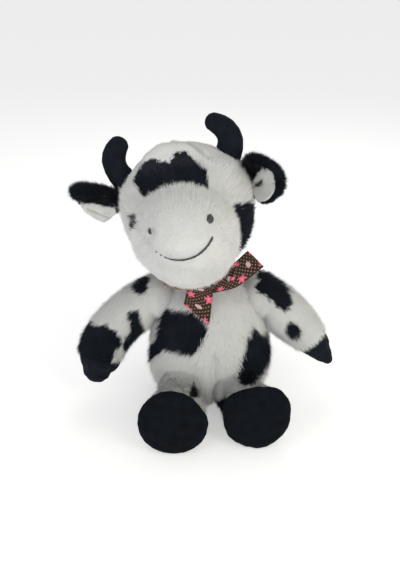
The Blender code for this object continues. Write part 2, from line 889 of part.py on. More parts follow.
def make_ear(finish, head_frame, side, word):
    """Builds an ear and gives back the groove that its rolled seam lies in."""
    frame = joint_frame(f"ear_{word}_joint", ear_root_place(side, word), ear_rotation(side, word))
    frame.parent = head_frame
    size = EAR_SIZES[word]
    name = f"ear_{word}_back"
    inner = SEAM_GAP / 2
    offsets = (inner, inner + EAR_BACK_THICKNESS)
    mesh = ear_layer(name, side, size, EAR_ALONG_SHARES, EAR_ACROSS_SHARES, offsets)
    back = new_object(name, mesh, finish["plush_black"], frame)
    roll = helper(f"ear_{word}_roll", ear_roll_mesh(f"ear_{word}_roll", size[1], 0.0), frame)
    join_on(back, roll)

    name = f"ear_{word}_lining"
    offsets = (-inner - EAR_LINING_THICKNESS, -inner)
    mesh = ear_layer(
        name, side, size, EAR_ALONG_SHARES[1:-1], EAR_ACROSS_SHARES[1:-1], offsets
    )
    new_object(name, mesh, finish["velour_white"], frame)
    groove_mesh = ear_roll_mesh(f"ear_{word}_groove", size[1], EAR_GROOVE_GAP)
    return helper(f"ear_{word}_groove", groove_mesh, frame)


def arm_stations(side, word):
    """The whole arm from its shoulder to the hand's end, and the number of the wrist's station."""
    reach, drop, lean, wrist, hand_length, tip = ARM_SIZES[word]
    rows = []
    for out_share, down_share, ahead_share, radius_share in ARM_SHARES[word]:
        radius = ARM_RADIUS + (wrist - ARM_RADIUS) * radius_share
        rows.append(
            (side * reach * out_share, -lean * ahead_share, -drop * down_share, radius)
        )
    wrist_place = Vector(rows[-1][:3])
    way = (wrist_place - Vector(rows[-2][:3])).normalized()
    for far_share, radius_share in HAND_SHARES:
        place = wrist_place + way * hand_length * far_share
        rows.append((*place, wrist + (tip - wrist) * radius_share))
    stations = stations_along(rows, ARM_CELLS * (len(rows) - 1) + 1)
    return stations, ARM_CELLS * (len(ARM_SHARES[word]) - 1)


def swing_dish_mesh(name, side, clearance):
    """All the room that the torso needs when it is turned about the line through the shoulder."""
    middle = shoulder_place(side)
    reach = middle.z - SEAT_FLAT_DEPTH
    rings = []
    for i in range(DISH_RINGS, 0, -1):
        radius = reach * i / DISH_RINGS
        heights = (middle.z - radius, min(middle.z + radius, TORSO_HEIGHT))
        width = max(torso_half_width_at(height) for height in heights) + clearance
        if not rings:
            rings.append(dish_ring(0.0, middle, radius))
        rings.append(dish_ring(side * width, middle, radius))
    pole = Vector((side * (torso_half_width_at(middle.z) + clearance), middle.y, middle.z))
    return skin_rings(name, rings, None, pole)


def dish_ring(x, middle, radius):
    ring = []
    for i in range(TORSO_SIDES):
        turn = 2 * math.pi * i / TORSO_SIDES
        y = middle.y + radius * math.cos(turn)
        z = middle.z + radius * math.sin(turn)
        ring.append(Vector((x, y, z)))
    return ring


def make_arm(finish, side, word):
    stations, wrist = arm_stations(side, word)
    frame = joint_frame(f"arm_{word}_joint", shoulder_place(side))
    dishes = []
    for layer, inset in (("skin", 0.0), ("hollow", SKIN), ("stuffing", SKIN + SEAM_GAP)):
        name = f"{layer}_dish_{word}"
        dishes.append(helper(name, swing_dish_mesh(name, side, 2 * SWING_GAP + inset)))

    name = f"arm_{word}_hollow"
    mesh = swelling_limb(
        name, stations, LINING_SIDES, grow=-SKIN, round_start=True, round_end=True
    )
    hollow = helper(name, mesh, frame)
    take_away(hollow, dishes[1])

    name = f"arm_{word}_sleeve"
    mesh = swelling_limb(name, stations[: wrist + 1], LIMB_SIDES)
    sleeve = new_object(name, mesh, finish["plush_white"], frame)
    name = f"shoulder_ball_{word}"
    sideways = Vector((1, 0, 0))
    radii = (SHOULDER_BALL,) * 3
    ball = ball_mesh(name, Vector((0, 0, 0)), radii, LIMB_SIDES, BALL_RINGS, sideways)
    take_away(sleeve, dishes[0])
    join_on(sleeve, helper(name, ball, frame))
    take_away(sleeve, hollow)

    name = f"hand_{word}"
    hand_stations = [moved_on(stations[wrist], SEAM_GAP)] + stations[wrist + 1 :]
    mesh = swelling_limb(name, hand_stations, LIMB_SIDES, round_end=True)
    hand = new_object(name, mesh, finish["velour_black"], frame)
    take_away(hand, hollow)

    name = f"arm_{word}_stuffing"
    mesh = swelling_limb(
        name, stations, LINING_SIDES, grow=-SKIN - SEAM_GAP, round_start=True, round_end=True
    )
    stuffing = new_object(name, mesh, finish["stuffing"], frame)
    take_away(stuffing, dishes[2])


def leg_rows(side, word):
    """Leg path from hip to ankle, then the sole's, from the joint at the hip."""
    length, splay = LEG_SIZES[word]
    rise = SOLE_RADIUS - SEAT_FLAT_DEPTH - hip_place(side).z
    rows = []
    for far_share, radius_share in LEG_SHARES:
        radius = THIGH_RADIUS + (ANKLE_RADIUS - THIGH_RADIUS) * radius_share
        rows.append((side * splay * far_share, -length * far_share, rise * far_share, radius))
    ankle = Vector(rows[-1][:3])
    sole_rows = []
    for far_share, radius_share in SOLE_SHARES:
        y = ankle.y - SEAM_GAP - SOLE_THICKNESS * far_share
        sole_rows.append((ankle.x, y, ankle.z, SOLE_RADIUS * radius_share))
    return rows, sole_rows


def straight_rings(name, rows, sides, grow=0.0):
    """Upright round rings along -Y, closed by a flat face behind and a pole in front."""
    rings = []
    for x, y, z, radius in rows:
        ring = []
        for i in range(sides):
            turn = 2 * math.pi * i / sides
            wide = (radius + grow) * math.cos(turn)
            high = (radius + grow) * math.sin(turn)
            ring.append(Vector((x + wide, y, z + high)))
        rings.append(ring)
    x, y, z, radius = rows[-1]
    return skin_rings(name, rings, None, Vector((x, y - POLE_RISE, z)))


def hip_ball_mesh(name, grow, sides):
    radii = (HIP_BALL + grow,) * 3
    return ball_mesh(name, Vector((0, 0, 0)), radii, sides, BALL_RINGS, Vector((1, 0, 0)))


def leg_inside(name, rows, grow, frame):
    """The ball at the hip and the leg as one form, made smaller all round."""
    ball = helper(f"{name}_hip", hip_ball_mesh(f"{name}_hip", grow, LINING_SIDES), frame)
    thing = new_object(name, straight_rings(name, rows, LINING_SIDES, grow), None, frame)
    join_on(thing, ball)
    return thing


def make_leg(finish, ground, side, word):
    rows, sole_rows = leg_rows(side, word)
    frame = joint_frame(f"leg_{word}_joint", hip_place(side))
    name = f"leg_{word}_skin"
    mesh = straight_rings(name, smooth_rows(rows, LIMB_RINGS), LIMB_SIDES)
    skin = new_object(name, mesh, finish["plush_white"], frame)
    ball = helper(f"hip_ball_{word}", hip_ball_mesh(f"hip_ball_{word}", 0.0, LIMB_SIDES), frame)
    inner_rows = smooth_rows(rows, LINING_RINGS) + [(*sole_rows[2][:3], ANKLE_RADIUS)]
    hollow = mark_as_cutter(leg_inside(f"leg_{word}_hollow", inner_rows, -SKIN, frame))
    join_on(skin, ball)
    take_away(skin, hollow, ground)

    name = f"sole_{word}"
    mesh = straight_rings(name, sole_rows, LIMB_SIDES + 2)
    sole = new_object(name, mesh, finish["velour_black"], frame)
    take_away(sole, hollow, ground)

    name = f"leg_{word}_stuffing"
    x, y, z, radius = inner_rows[-1]
    inner_rows[-1] = (x, y + 2 * SEAM_GAP, z, radius)
    stuffing = leg_inside(name, inner_rows, -SKIN - SEAM_GAP, frame)
    stuffing.data.materials.append(finish["stuffing"])


def tail_place():
    height = TORSO_HEIGHT * TAIL_HEIGHT_SHARE
    return Vector((0, torso_half_depth_at(height), height))


def make_tail(finish):
    """A narrow tail that hangs down the back from a small ball, with a tuft at its end."""
    frame = joint_frame("tail_joint", tail_place())
    radius = TAIL_RADIUS
    rows = []
    for back_share, down_share in TAIL_SHARES:
        rows.append((0.0, TAIL_STAND_OFF * back_share, -TAIL_LENGTH * down_share, radius))
    sideways = Vector((1, 0, 0))
    stations = stations_along(rows, LIMB_RINGS)
    mesh = swelling_limb("tail_cord", stations, SMALL_SIDES, flat_towards=sideways)
    cord = new_object("tail_cord", mesh, finish["plush_white"], frame)
    ahead = Vector((0, 1, 0))
    root_mesh = ball_mesh(
        "tail_root", Vector((0, 0, 0)), (TAIL_ROOT_BALL,) * 3, SMALL_SIDES, LINING_RINGS, ahead
    )
    join_on(cord, helper("tail_root", root_mesh, frame))
    end = Vector(rows[-1][:3])
    tuft_rows = []
    for down_share, radius_share in TUFT_SHARES:
        z = end.z - SEAM_GAP - TUFT_LENGTH * down_share
        tuft_rows.append((end.x, end.y, z, TUFT_RADIUS * radius_share))
    stations = stations_along(tuft_rows, LINING_RINGS)
    mesh = swelling_limb(
        "tail_tuft", stations, SMALL_SIDES, round_end=True, flat_towards=ahead
    )
    new_object("tail_tuft", mesh, finish["plush_black"], frame)
    socket_radii = (TAIL_ROOT_BALL + SWING_GAP,) * 3
    socket_mesh = ball_mesh(
        "tail_socket", tail_place(), socket_radii, SMALL_SIDES, LINING_RINGS, ahead
    )
    socket = helper("tail_socket", socket_mesh)
    take_away(bpy.data.objects["torso_skin"], socket)
    take_away(bpy.data.objects["torso_stuffing"], socket)


def band_middle():
    return neck_place() - Vector((0, 0, BAND_BELOW_NECK))


def knot_place():
    ahead = NECK_BALL + BAND_THICKNESS + 2 * SEAM_GAP + KNOT_HALF_DEPTH
    return band_middle() + Vector((-KNOT_ASIDE, -ahead, 0))


def make_neck_band(finish):
    """The ribbon where it goes round the neck, drawn together into a narrow band."""
    middle = band_middle()
    rings = []
    for i in range(BAND_POINTS):
        turn = 2 * math.pi * i / BAND_POINTS
        way = Vector((math.cos(turn), math.sin(turn), 0))
        inner = middle + way * (NECK_BALL + SEAM_GAP)
        outer = inner + way * BAND_THICKNESS
        half = Vector((0, 0, BAND_HEIGHT / 2))
        rings.append([inner - half, outer - half, outer + half, inner + half])
    shape = bmesh.new()
    rows = [[shape.verts.new(point) for point in ring] for ring in rings]
    for low, high in zip(rows, rows[1:] + rows[:1]):
        for i in range(len(low)):
            j = (i + 1) % len(low)
            shape.faces.new((low[i], low[j], high[j], high[i]))
    mesh = finished_mesh("ribbon_neck_band", shape)
    new_object("ribbon_neck_band", mesh, finish["ribbon_brown"])


def ribbon_strip(name, edges):
    """A flat strip of ribbon between pairs of edge points."""
    rings = []
    for i, (one, two) in enumerate(edges):
        before = edges[max(i - 1, 0)]
        after = edges[min(i + 1, len(edges) - 1)]
        along = (after[0] + after[1]) - (before[0] + before[1])
        half = (two - one).cross(along).normalized() * RIBBON_THICKNESS / 2
        rings.append([one - half, two - half, two + half, one + half])
    return skin_rings(name, rings)


def make_ribbon_tails(finish, frame):
    """The knot and the two tails. They are measured from the neck, where the head's joint is."""
    knot = knot_place()
    pivot = neck_place()
    radii = (KNOT_HALF_WIDTH, KNOT_HALF_DEPTH, KNOT_HALF_HEIGHT)
    mesh = ball_mesh("ribbon_knot", knot - pivot, radii, LINING_SIDES, LINING_RINGS)
    new_object("ribbon_knot", mesh, finish["ribbon_brown"], frame)

    edges = []
    for down_share, ahead_share, width_share in FRONT_TAIL_SHARES:
        x = knot.x - FRONT_TAIL_ASIDE * down_share
        y = knot.y - KNOT_HALF_DEPTH - SEAM_GAP - RIBBON_THICKNESS / 2
        y -= FRONT_TAIL_LIFT * ahead_share
        top = knot.z + KNOT_HALF_HEIGHT
        half = RIBBON_WIDTH / 2 * width_share
        left = Vector((x - half, y, top - FRONT_TAIL_LENGTH * FRONT_TAIL_SLANT_SHARE * down_share))
        right = Vector((x + half, y, top - FRONT_TAIL_LENGTH * down_share))
        edges.append((left - pivot, right - pivot))
    mesh = ribbon_strip("ribbon_front_tail", edges)
    new_object("ribbon_front_tail", mesh, finish["ribbon_brown"], frame)

    edges = []
    start = knot + Vector((KNOT_HALF_WIDTH + SEAM_GAP + RIBBON_THICKNESS, 0, 0))
    for low, high in SIDE_TAIL_SHARES:
        pair = [start + Vector(shares) * SIDE_TAIL_LENGTH - pivot for shares in (low, high)]
        edges.append(tuple(pair))
    mesh = ribbon_strip("ribbon_side_tail", edges)
    new_object("ribbon_side_tail", mesh, finish["ribbon_brown"], frame)


def main():
    clear_scene()
    finish = {}
    for name, (colour, roughness) in MATERIAL_VALUES.items():
        finish[name] = finish_material(name, colour, roughness)
    deep = TORSO_HEIGHT * 2
    low = (-deep, -deep, -CUT_OVERRUN * 2)
    ground = helper("ground_cut", block_mesh("ground_cut", low, (deep, deep, 0.0)))
    sockets = make_sockets()
    make_torso(finish, sockets)
    head_frame = joint_frame("head_joint", neck_place(), head_rotation())
    make_head(finish, head_frame, sockets)
    for side, word in SIDES:
        make_arm(finish, side, word)
        make_leg(finish, ground, side, word)
    make_tail(finish)
    make_neck_band(finish)
    ribbon_frame = joint_frame("ribbon_frame", neck_place())
    make_ribbon_tails(finish, ribbon_frame)


main()
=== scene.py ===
# %% [markdown]
# # A seated plush cow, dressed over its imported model
# The toy is sewn from black and white plush, stuffed, and finished with short black velour on the
# horns, hands and soles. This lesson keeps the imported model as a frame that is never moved, and
# dresses it: an even backing for every skin, then thousands of separate tufts of pile. Real tufts
# are used, and not only a bump, because the edge of a plush toy is soft in the outline too, and a
# flat material can't give that.

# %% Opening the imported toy
import json
import math

import bmesh
import bpy
import numpy as np
from mathutils import Matrix, Vector
from mathutils.bvhtree import BVHTree
from mathutils.kdtree import KDTree


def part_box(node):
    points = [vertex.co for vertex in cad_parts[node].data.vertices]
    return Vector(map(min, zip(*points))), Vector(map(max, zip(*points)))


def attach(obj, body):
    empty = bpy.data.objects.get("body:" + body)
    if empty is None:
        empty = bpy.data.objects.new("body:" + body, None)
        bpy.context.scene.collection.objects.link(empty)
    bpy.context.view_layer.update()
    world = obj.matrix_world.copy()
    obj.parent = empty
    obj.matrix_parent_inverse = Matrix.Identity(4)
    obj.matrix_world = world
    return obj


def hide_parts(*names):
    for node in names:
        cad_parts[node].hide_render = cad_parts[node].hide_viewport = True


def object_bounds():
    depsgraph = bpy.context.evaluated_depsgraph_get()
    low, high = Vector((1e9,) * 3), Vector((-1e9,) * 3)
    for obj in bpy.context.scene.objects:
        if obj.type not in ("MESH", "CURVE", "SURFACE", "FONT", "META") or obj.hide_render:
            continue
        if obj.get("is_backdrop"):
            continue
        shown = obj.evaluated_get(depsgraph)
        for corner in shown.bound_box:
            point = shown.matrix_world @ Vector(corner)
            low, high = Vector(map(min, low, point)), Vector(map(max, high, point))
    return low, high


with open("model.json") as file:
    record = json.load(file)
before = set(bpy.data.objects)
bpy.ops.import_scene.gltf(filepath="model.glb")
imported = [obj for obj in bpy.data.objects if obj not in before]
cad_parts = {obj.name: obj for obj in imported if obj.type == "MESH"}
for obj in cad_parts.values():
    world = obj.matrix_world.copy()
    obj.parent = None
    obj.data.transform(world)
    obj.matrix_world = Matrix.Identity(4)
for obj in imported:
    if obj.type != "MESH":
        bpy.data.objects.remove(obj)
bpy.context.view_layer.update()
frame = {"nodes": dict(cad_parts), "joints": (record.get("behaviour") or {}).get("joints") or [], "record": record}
MM = 0.001
rng = np.random.default_rng(20)
JOINT_PLACES = {joint["name"]: Vector(joint["pos_m"]) for joint in frame["joints"]}
BODY_OF = {}
for body, members in frame["record"]["behaviour"]["bodies"].items():
    for member in members:
        BODY_OF[member] = body

# %% [markdown]
# ## The camera
# The photograph looks down on the toy from its front by about 25 degrees, from arm's length. The
# camera is made first, because the patches of the plush are placed by looking along its sight lines.

# %% Placing the camera
LOOK_AT = Vector((-0.009, 0.0, 0.106))
CAMERA_RISE = math.radians(25)
CAMERA_DISTANCE = 0.70
PICTURE_WIDE, PICTURE_HIGH = 400, 570
FOCAL_PIXELS = 778.0
SENSOR = 36.0

camera_data = bpy.data.cameras.new("camera")
camera = bpy.data.objects.new("camera", camera_data)
bpy.context.scene.collection.objects.link(camera)
camera_data.sensor_fit = "VERTICAL"
camera_data.sensor_height = SENSOR
camera_data.lens = FOCAL_PIXELS / PICTURE_HIGH * SENSOR
sight = Vector((0.0, math.cos(CAMERA_RISE), -math.sin(CAMERA_RISE)))
upward = Vector((0.0, math.sin(CAMERA_RISE), math.cos(CAMERA_RISE)))
camera.location = LOOK_AT - sight * CAMERA_DISTANCE
camera.rotation_euler = (math.pi / 2 - CAMERA_RISE, 0.0, 0.0)
bpy.context.scene.camera = camera
print("lens", round(camera_data.lens, 1), "mm at", tuple(round(x, 3) for x in camera.location))

# %% [markdown]
# ## Nodes for materials
# Every finish below is made of a few nodes. These helpers add one node each and join it up, so that
# a finish reads like a sum.

# %% Small helpers for node trees
def shader_of(material):
    material.use_nodes = True
    return material.node_tree.nodes["Principled BSDF"]


def feed(tree, socket, value):
    """Puts a number, a colour or another node's output into a socket."""
    if isinstance(value, (int, float)):
        socket.default_value = value
    elif isinstance(value, tuple):
        socket.default_value = (*value, 1)
    else:
        tree.links.new(value, socket)


def sum_of(tree, operation, *values):
    node = tree.nodes.new("ShaderNodeMath")
    node.operation = operation
    for socket, value in zip(node.inputs, values):
        feed(tree, socket, value)
    return node.outputs[0]


def mixed(tree, kind, factor, first, second):
    node = tree.nodes.new("ShaderNodeMix")
    node.data_type = "RGBA"
    node.blend_type = kind
    feed(tree, node.inputs[0], factor)
    feed(tree, node.inputs[6], first)
    feed(tree, node.inputs[7], second)
    return node.outputs[2]


def ramp(tree, stops, value):
    """A colour that runs through (place, colour) stops as a value goes from 0 to 1."""
    node = tree.nodes.new("ShaderNodeValToRGB")
    elements = node.color_ramp.elements
    while len(elements) < len(stops):
        elements.new(0.5)
    for element, (place, colour) in zip(elements, stops):
        element.position = place
        element.color = (*colour, 1)
    tree.links.new(value, node.inputs[0])
    return node.outputs[0]


def noise(tree, scale, detail=2.0, stretch=None):
    """Noise in the toy's own space. A stretch per axis draws it out."""
    place = tree.nodes.new("ShaderNodeTexCoord").outputs["Object"]
    if stretch is not None:
        mapping = tree.nodes.new("ShaderNodeMapping")
        mapping.inputs["Scale"].default_value = stretch
        tree.links.new(place, mapping.inputs["Vector"])
        place = mapping.outputs[0]
    node = tree.nodes.new("ShaderNodeTexNoise")
    node.inputs["Scale"].default_value = scale
    node.inputs["Detail"].default_value = detail
    tree.links.new(place, node.inputs["Vector"])
    return node.outputs[0]


def bumped(tree, shader, height, distance, strength=1.0):
    bump = tree.nodes.new("ShaderNodeBump")
    bump.inputs["Strength"].default_value = strength
    bump.inputs["Distance"].default_value = distance
    tree.links.new(height, bump.inputs["Height"])
    tree.links.new(bump.outputs[0], shader.inputs["Normal"])


def seen_through(tree):
    """1 for rays that come from the camera, also by way of gloss or glass, and 0 for the rest."""
    path = tree.nodes.new("ShaderNodeLightPath")
    both = sum_of(tree, "MAXIMUM", path.outputs["Is Camera Ray"], path.outputs["Is Glossy Ray"])
    return sum_of(tree, "MAXIMUM", both, path.outputs["Is Transmission Ray"])


print("node helpers are ready")

# %% [markdown]
# ## Floor and light
# A pale floor and big soft lamps are enough for a toy. The lamps stay at a level where white cloth
# renders just under white, so that the pile keeps its shading. The picture's ground is nearly white,
# so the floor gets a faint glow that only the camera sees: the light on the toy isn't changed by it,
# and the toy's shadow stays.

# %% Floor
FLOOR_HALF = 6.0
FLOOR_GLOW = 0.36
floor_mesh = bpy.data.meshes.new("floor")
corners = [(-FLOOR_HALF, -FLOOR_HALF, 0), (FLOOR_HALF, -FLOOR_HALF, 0)]
corners += [(FLOOR_HALF, FLOOR_HALF, 0), (-FLOOR_HALF, FLOOR_HALF, 0)]
floor_mesh.from_pydata(corners, [], [(0, 1, 2, 3)])
floor = bpy.data.objects.new("floor", floor_mesh)
bpy.context.scene.collection.objects.link(floor)
floor_finish = bpy.data.materials.new("pale_floor")
floor_shader = shader_of(floor_finish)
floor_shader.inputs["Base Color"].default_value = (0.93, 0.93, 0.93, 1)
floor_shader.inputs["Roughness"].default_value = 0.9
floor_shader.inputs["Specular IOR Level"].default_value = 0.0
floor_shader.inputs["Emission Color"].default_value = (1, 1, 1, 1)
floor_tree = floor_finish.node_tree
glow = sum_of(floor_tree, "MULTIPLY", seen_through(floor_tree), FLOOR_GLOW)
floor_tree.links.new(glow, floor_shader.inputs["Emission Strength"])
floor_mesh.materials.append(floor_finish)
floor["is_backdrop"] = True

# %% Lamps and sky
SKY_ON_TOY = 0.52
LAMPS = {
    "key_lamp": ((0.75, -0.80, 0.50), 3.9, 0.60, (1.0, 0.985, 0.84)),
    "fill_lamp": ((-0.80, -0.75, 0.35), 2.1, 0.60, (0.98, 0.985, 1.0)),
    "front_lamp": ((0.02, -1.00, 0.30), 2.6, 0.50, (1.0, 0.995, 0.97)),
    "back_lamp": ((0.10, 0.70, 0.80), 1.6, 0.60, (1.0, 1.0, 1.0)),
}
for name, (place, power, size, colour) in LAMPS.items():
    lamp_data = bpy.data.lights.new(name, "AREA")
    lamp_data.energy, lamp_data.size, lamp_data.color = power, size, colour
    lamp = bpy.data.objects.new(name, lamp_data)
    lamp.location = place
    lamp.rotation_euler = (LOOK_AT - Vector(place)).to_track_quat("-Z", "Y").to_euler()
    bpy.context.scene.collection.objects.link(lamp)

world = bpy.data.worlds.new("sky")
bpy.context.scene.world = world
world.use_nodes = True
sky = world.node_tree
strength = sky.nodes.new("ShaderNodeMapRange")
strength.inputs["To Min"].default_value = SKY_ON_TOY
strength.inputs["To Max"].default_value = 1.0
sky.links.new(seen_through(sky), strength.inputs["Value"])
sky.links.new(strength.outputs[0], sky.nodes["Background"].inputs["Strength"])
sky.nodes["Background"].inputs["Color"].default_value = (1, 1, 1, 1)
bpy.context.scene.view_settings.view_transform = "Standard"
print(len(LAMPS), "lamps and a white sky")

# %% [markdown]
# ## Seeing the toy through the picture
# A patch of black pile is easiest to draw as an outline in the picture. These helpers say where a
# point of the toy falls in the picture, and which point of a skin is seen at a place in it.

# %% From toy to picture and back
def as_array(vectors):
    return np.array([tuple(v) for v in vectors], float).reshape(-1, 3)


def picture_places(points):
    """The column and row of the picture at which each point is seen."""
    away = points - np.array(camera.location)
    depth = away @ np.array(sight)
    columns = PICTURE_WIDE / 2 + FOCAL_PIXELS * away[:, 0] / depth
    rows = PICTURE_HIGH / 2 - FOCAL_PIXELS * (away @ np.array(upward)) / depth
    return np.stack([columns, rows], axis=1)


def facing_camera(points, normals):
    back = np.array(camera.location) - points
    back /= np.linalg.norm(back, axis=1, keepdims=True)
    return (back * normals).sum(axis=1)


def sight_line(column, row):
    aside = (column - PICTURE_WIDE / 2) / FOCAL_PIXELS
    rise = (PICTURE_HIGH / 2 - row) / FOCAL_PIXELS
    return (sight + Vector((aside, 0, 0)) + upward * rise).normalized()


def tree_of(things):
    """A search tree over the faces of some objects."""
    points, faces = [], []
    for thing in things:
        first = len(points)
        points += [v.co.copy() for v in thing.data.vertices]
        faces += [[first + i for i in face.vertices] for face in thing.data.polygons]
    return BVHTree.FromPolygons(points, faces)


def on_skin(node, places):
    """The places on a CAD node that are seen at places in the picture. It leaves out misses."""
    tree = tree_of([frame["nodes"][node]])
    hits = [tree.ray_cast(camera.location, sight_line(*place))[0] for place in places]
    return [hit for hit in hits if hit is not None]


print("the nose is seen at", picture_places(np.array([[-0.013, -0.09, 0.165]])).round()[0])

# %% [markdown]
# ## Where the joints turn
# The head leans to one side and looks up a little. Its pivot and lean are the ones of the model, and
# the middles of the head and of the muzzle say which way the pile is brushed on the face.

# %% Middles and ways
HEAD_PIVOT = JOINT_PLACES["neck_tilt"]
HEAD_TURN = Matrix.Rotation(math.radians(-13.5), 3, "Y") @ Matrix.Rotation(math.radians(-10), 3, "X")
HEAD_MIDDLE = HEAD_PIVOT + HEAD_TURN @ Vector((0, -0.012, 0.057))
MUZZLE_MIDDLE = HEAD_PIVOT + HEAD_TURN @ Vector((-0.0045, -0.050, 0.0405))
MUZZLE_RADIUS = 0.041
FACE_AHEAD = HEAD_TURN @ Vector((0, -1, 0))
HEAD_UP = HEAD_TURN @ Vector((0, 0, 1))
SIDES = ((-1, "right"), (1, "left"))
print("muzzle at", tuple(round(x, 4) for x in MUZZLE_MIDDLE))

# %% [markdown]
# ## Even cloth
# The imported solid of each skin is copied, remeshed into even little faces and smoothed, which rounds
# off its facets. The copy has both sides of the cloth, so it is a closed piece of its own, and it
# stands for the CAD skin, which is then hidden.

# %% Reading and writing meshes
def coordinates(mesh):
    flat = np.empty(len(mesh.vertices) * 3, np.float32)
    mesh.vertices.foreach_get("co", flat)
    return flat.reshape(-1, 3).astype(float)


def vertex_normals(mesh):
    flat = np.empty(len(mesh.vertices) * 3, np.float32)
    mesh.vertices.foreach_get("normal", flat)
    return flat.reshape(-1, 3).astype(float)


def put_coordinates(mesh, points):
    mesh.vertices.foreach_set("co", points.astype(np.float32).ravel())
    mesh.update()


def normalised(vectors):
    return vectors / np.maximum(np.linalg.norm(vectors, axis=1, keepdims=True), 1e-9)


def wobble(points, scale, seed):
    """A smooth field between about -1 and 1 that repeats nowhere near the toy, at a scale in metres."""
    ways = np.random.default_rng(seed)
    total = np.zeros(len(points))
    for _ in range(7):
        way = ways.normal(size=3)
        way *= 2 * math.pi / (scale * (0.7 + 0.8 * ways.random())) / np.linalg.norm(way)
        total += np.sin(points @ way + ways.random() * 2 * math.pi)
    return total / 3.2


def new_piece(name, mesh, *finishes):
    for finish in finishes:
        mesh.materials.append(finish)
    mesh.shade_smooth()
    piece = bpy.data.objects.new(name, mesh)
    bpy.context.scene.collection.objects.link(piece)
    return piece


# %% Remeshing a skin
def evened(node, name, voxel, smoothing=6):
    source = frame["nodes"][node].data.copy()
    source.materials.clear()
    shape = bpy.data.objects.new(name + "_source", source)
    bpy.context.scene.collection.objects.link(shape)
    remesh = shape.modifiers.new("even", "REMESH")
    remesh.mode = "VOXEL"
    remesh.voxel_size = voxel
    smooth = shape.modifiers.new("smooth", "SMOOTH")
    smooth.factor, smooth.iterations = 0.5, smoothing
    ready = shape.evaluated_get(bpy.context.evaluated_depsgraph_get())
    mesh = bpy.data.meshes.new_from_object(ready)
    mesh.name = name
    bpy.data.objects.remove(shape)
    return new_piece(name, mesh)


# %% Finding the outer side
def triangles_of(mesh):
    mesh.calc_loop_triangles()
    faces = np.empty(len(mesh.loop_triangles) * 3, np.int32)
    mesh.loop_triangles.foreach_get("vertices", faces)
    return faces.reshape(-1, 3)


def outer_triangles(mesh, cover=None):
    """The triangles from which a line straight out meets neither the skin again nor a cover on it."""
    points, faces = coordinates(mesh), triangles_of(mesh)
    corners_of = points[faces]
    middles = corners_of.mean(axis=1)
    across = np.cross(corners_of[:, 1] - corners_of[:, 0], corners_of[:, 2] - corners_of[:, 0])
    areas = np.linalg.norm(across, axis=1) / 2
    ways = normalised(across)
    tree = BVHTree.FromPolygons(points.tolist(), faces.tolist())
    free = np.zeros(len(faces), bool)
    for i, (middle, way) in enumerate(zip(middles + ways * 0.3 * MM, ways)):
        start, out = Vector(middle), Vector(way)
        free[i] = tree.ray_cast(start, out, 0.12)[0] is None
        if free[i] and cover is not None:
            free[i] = cover.ray_cast(start, out, 2.0 * MM)[0] is None
    return faces[free], areas[free]


print("cloth helpers are ready")

# %% [markdown]
# ## Bumps, folds and seams
# A stuffed toy isn't smooth. The crown has soft bumps with a rolled seam that runs down from them,
# and the belly is parted by its front seam and drawn in beside the legs. Each of these is a line or
# a point in the picture, with a width and a push, laid on the skin along the sight lines.

# %% Lines that the picture shows
# line, half width and push outwards
FORMS = {
    "head_skin": [
        ([(163, 152), (152, 160)], 9 * MM, 6.5 * MM),
        ([(179, 148)], 8 * MM, 3.0 * MM),
        ([(206, 154)], 6 * MM, 1.5 * MM),
        ([(187, 147), (195, 151), (204, 159.5), (210, 166)], 1.9 * MM, 2.8 * MM),
        ([(183, 150), (191, 155), (200, 163)], 1.8 * MM, -2.0 * MM),
        ([(194, 147.5), (199, 151), (206, 157)], 3.2 * MM, -5.5 * MM),
        ([(216, 154)], 7 * MM, -2.5 * MM),
        ([(250, 212), (248, 235)], 9 * MM, -2.0 * MM),
    ],
    "torso_skin": [
        ([(215.5, 318), (215.5, 398)], 3.0 * MM, -2.4 * MM),
        ([(215.5, 358), (215.5, 400)], 2.6 * MM, -4.0 * MM),
        ([(195, 364), (198, 397)], 3.5 * MM, -3.6 * MM),
        ([(206, 366), (207, 397)], 4.5 * MM, 2.6 * MM),
        ([(227, 366), (227, 394)], 6.0 * MM, 2.4 * MM),
        ([(172, 362), (184, 372)], 9.0 * MM, 1.6 * MM),
        ([(150, 320), (153, 342)], 6.0 * MM, -1.2 * MM),
    ],
    "muzzle_skin": [
        ([(141, 241), (146, 255), (152, 265)], 17.0 * MM, -7.5 * MM),
        ([(172, 277), (196, 277)], 12.0 * MM, -3.4 * MM),
    ],
}


def distance_to_line(points, line):
    """Each point's distance to the nearest stretch of a line of places."""
    places = as_array(line)
    starts, ends = (places[:-1], places[1:]) if len(places) > 1 else (places, places)
    best = np.full(len(points), np.inf)
    for start, end in zip(starts, ends):
        along = end - start
        share = np.clip(((points - start) @ along) / max(along @ along, 1e-12), 0, 1)
        nearest = start + share[:, None] * along
        best = np.minimum(best, np.linalg.norm(points - nearest, axis=1))
    return best


def pushed(mesh, line, width, moves):
    """Moves the points near a line, by less the farther they are from it."""
    points = coordinates(mesh)
    near = np.exp(-((distance_to_line(points, line) / width) ** 2))
    put_coordinates(mesh, points + moves * near[:, None])


FILLING_SPARE = 2.5 * MM


def carried_over(node, line):
    """A line on a skin, carried on past its first place, over the rim that the camera sees."""
    skin = tree_of([frame["nodes"][node]])
    for _ in range(2):
        line = [skin.find_nearest(2 * line[0] - line[1])[0]] + line
    return line


def formed(mesh, node, filling=False):
    """Lays every bump, fold and seam of a node on its cloth. A filling only gives way to the folds."""
    low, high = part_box(node)
    for places, width, push in FORMS.get(node, []):
        if filling:
            width, push = width + FILLING_SPARE, min(push, 0)
        line = on_skin(node, places)
        if node == "head_skin" and len(line) > 2:
            line = carried_over(node, line)
        outwards = normalised(coordinates(mesh) - np.array((low + high) / 2))
        pushed(mesh, line, width, outwards * push)


print(sum(len(rows) for rows in FORMS.values()), "bumps, folds and seams")

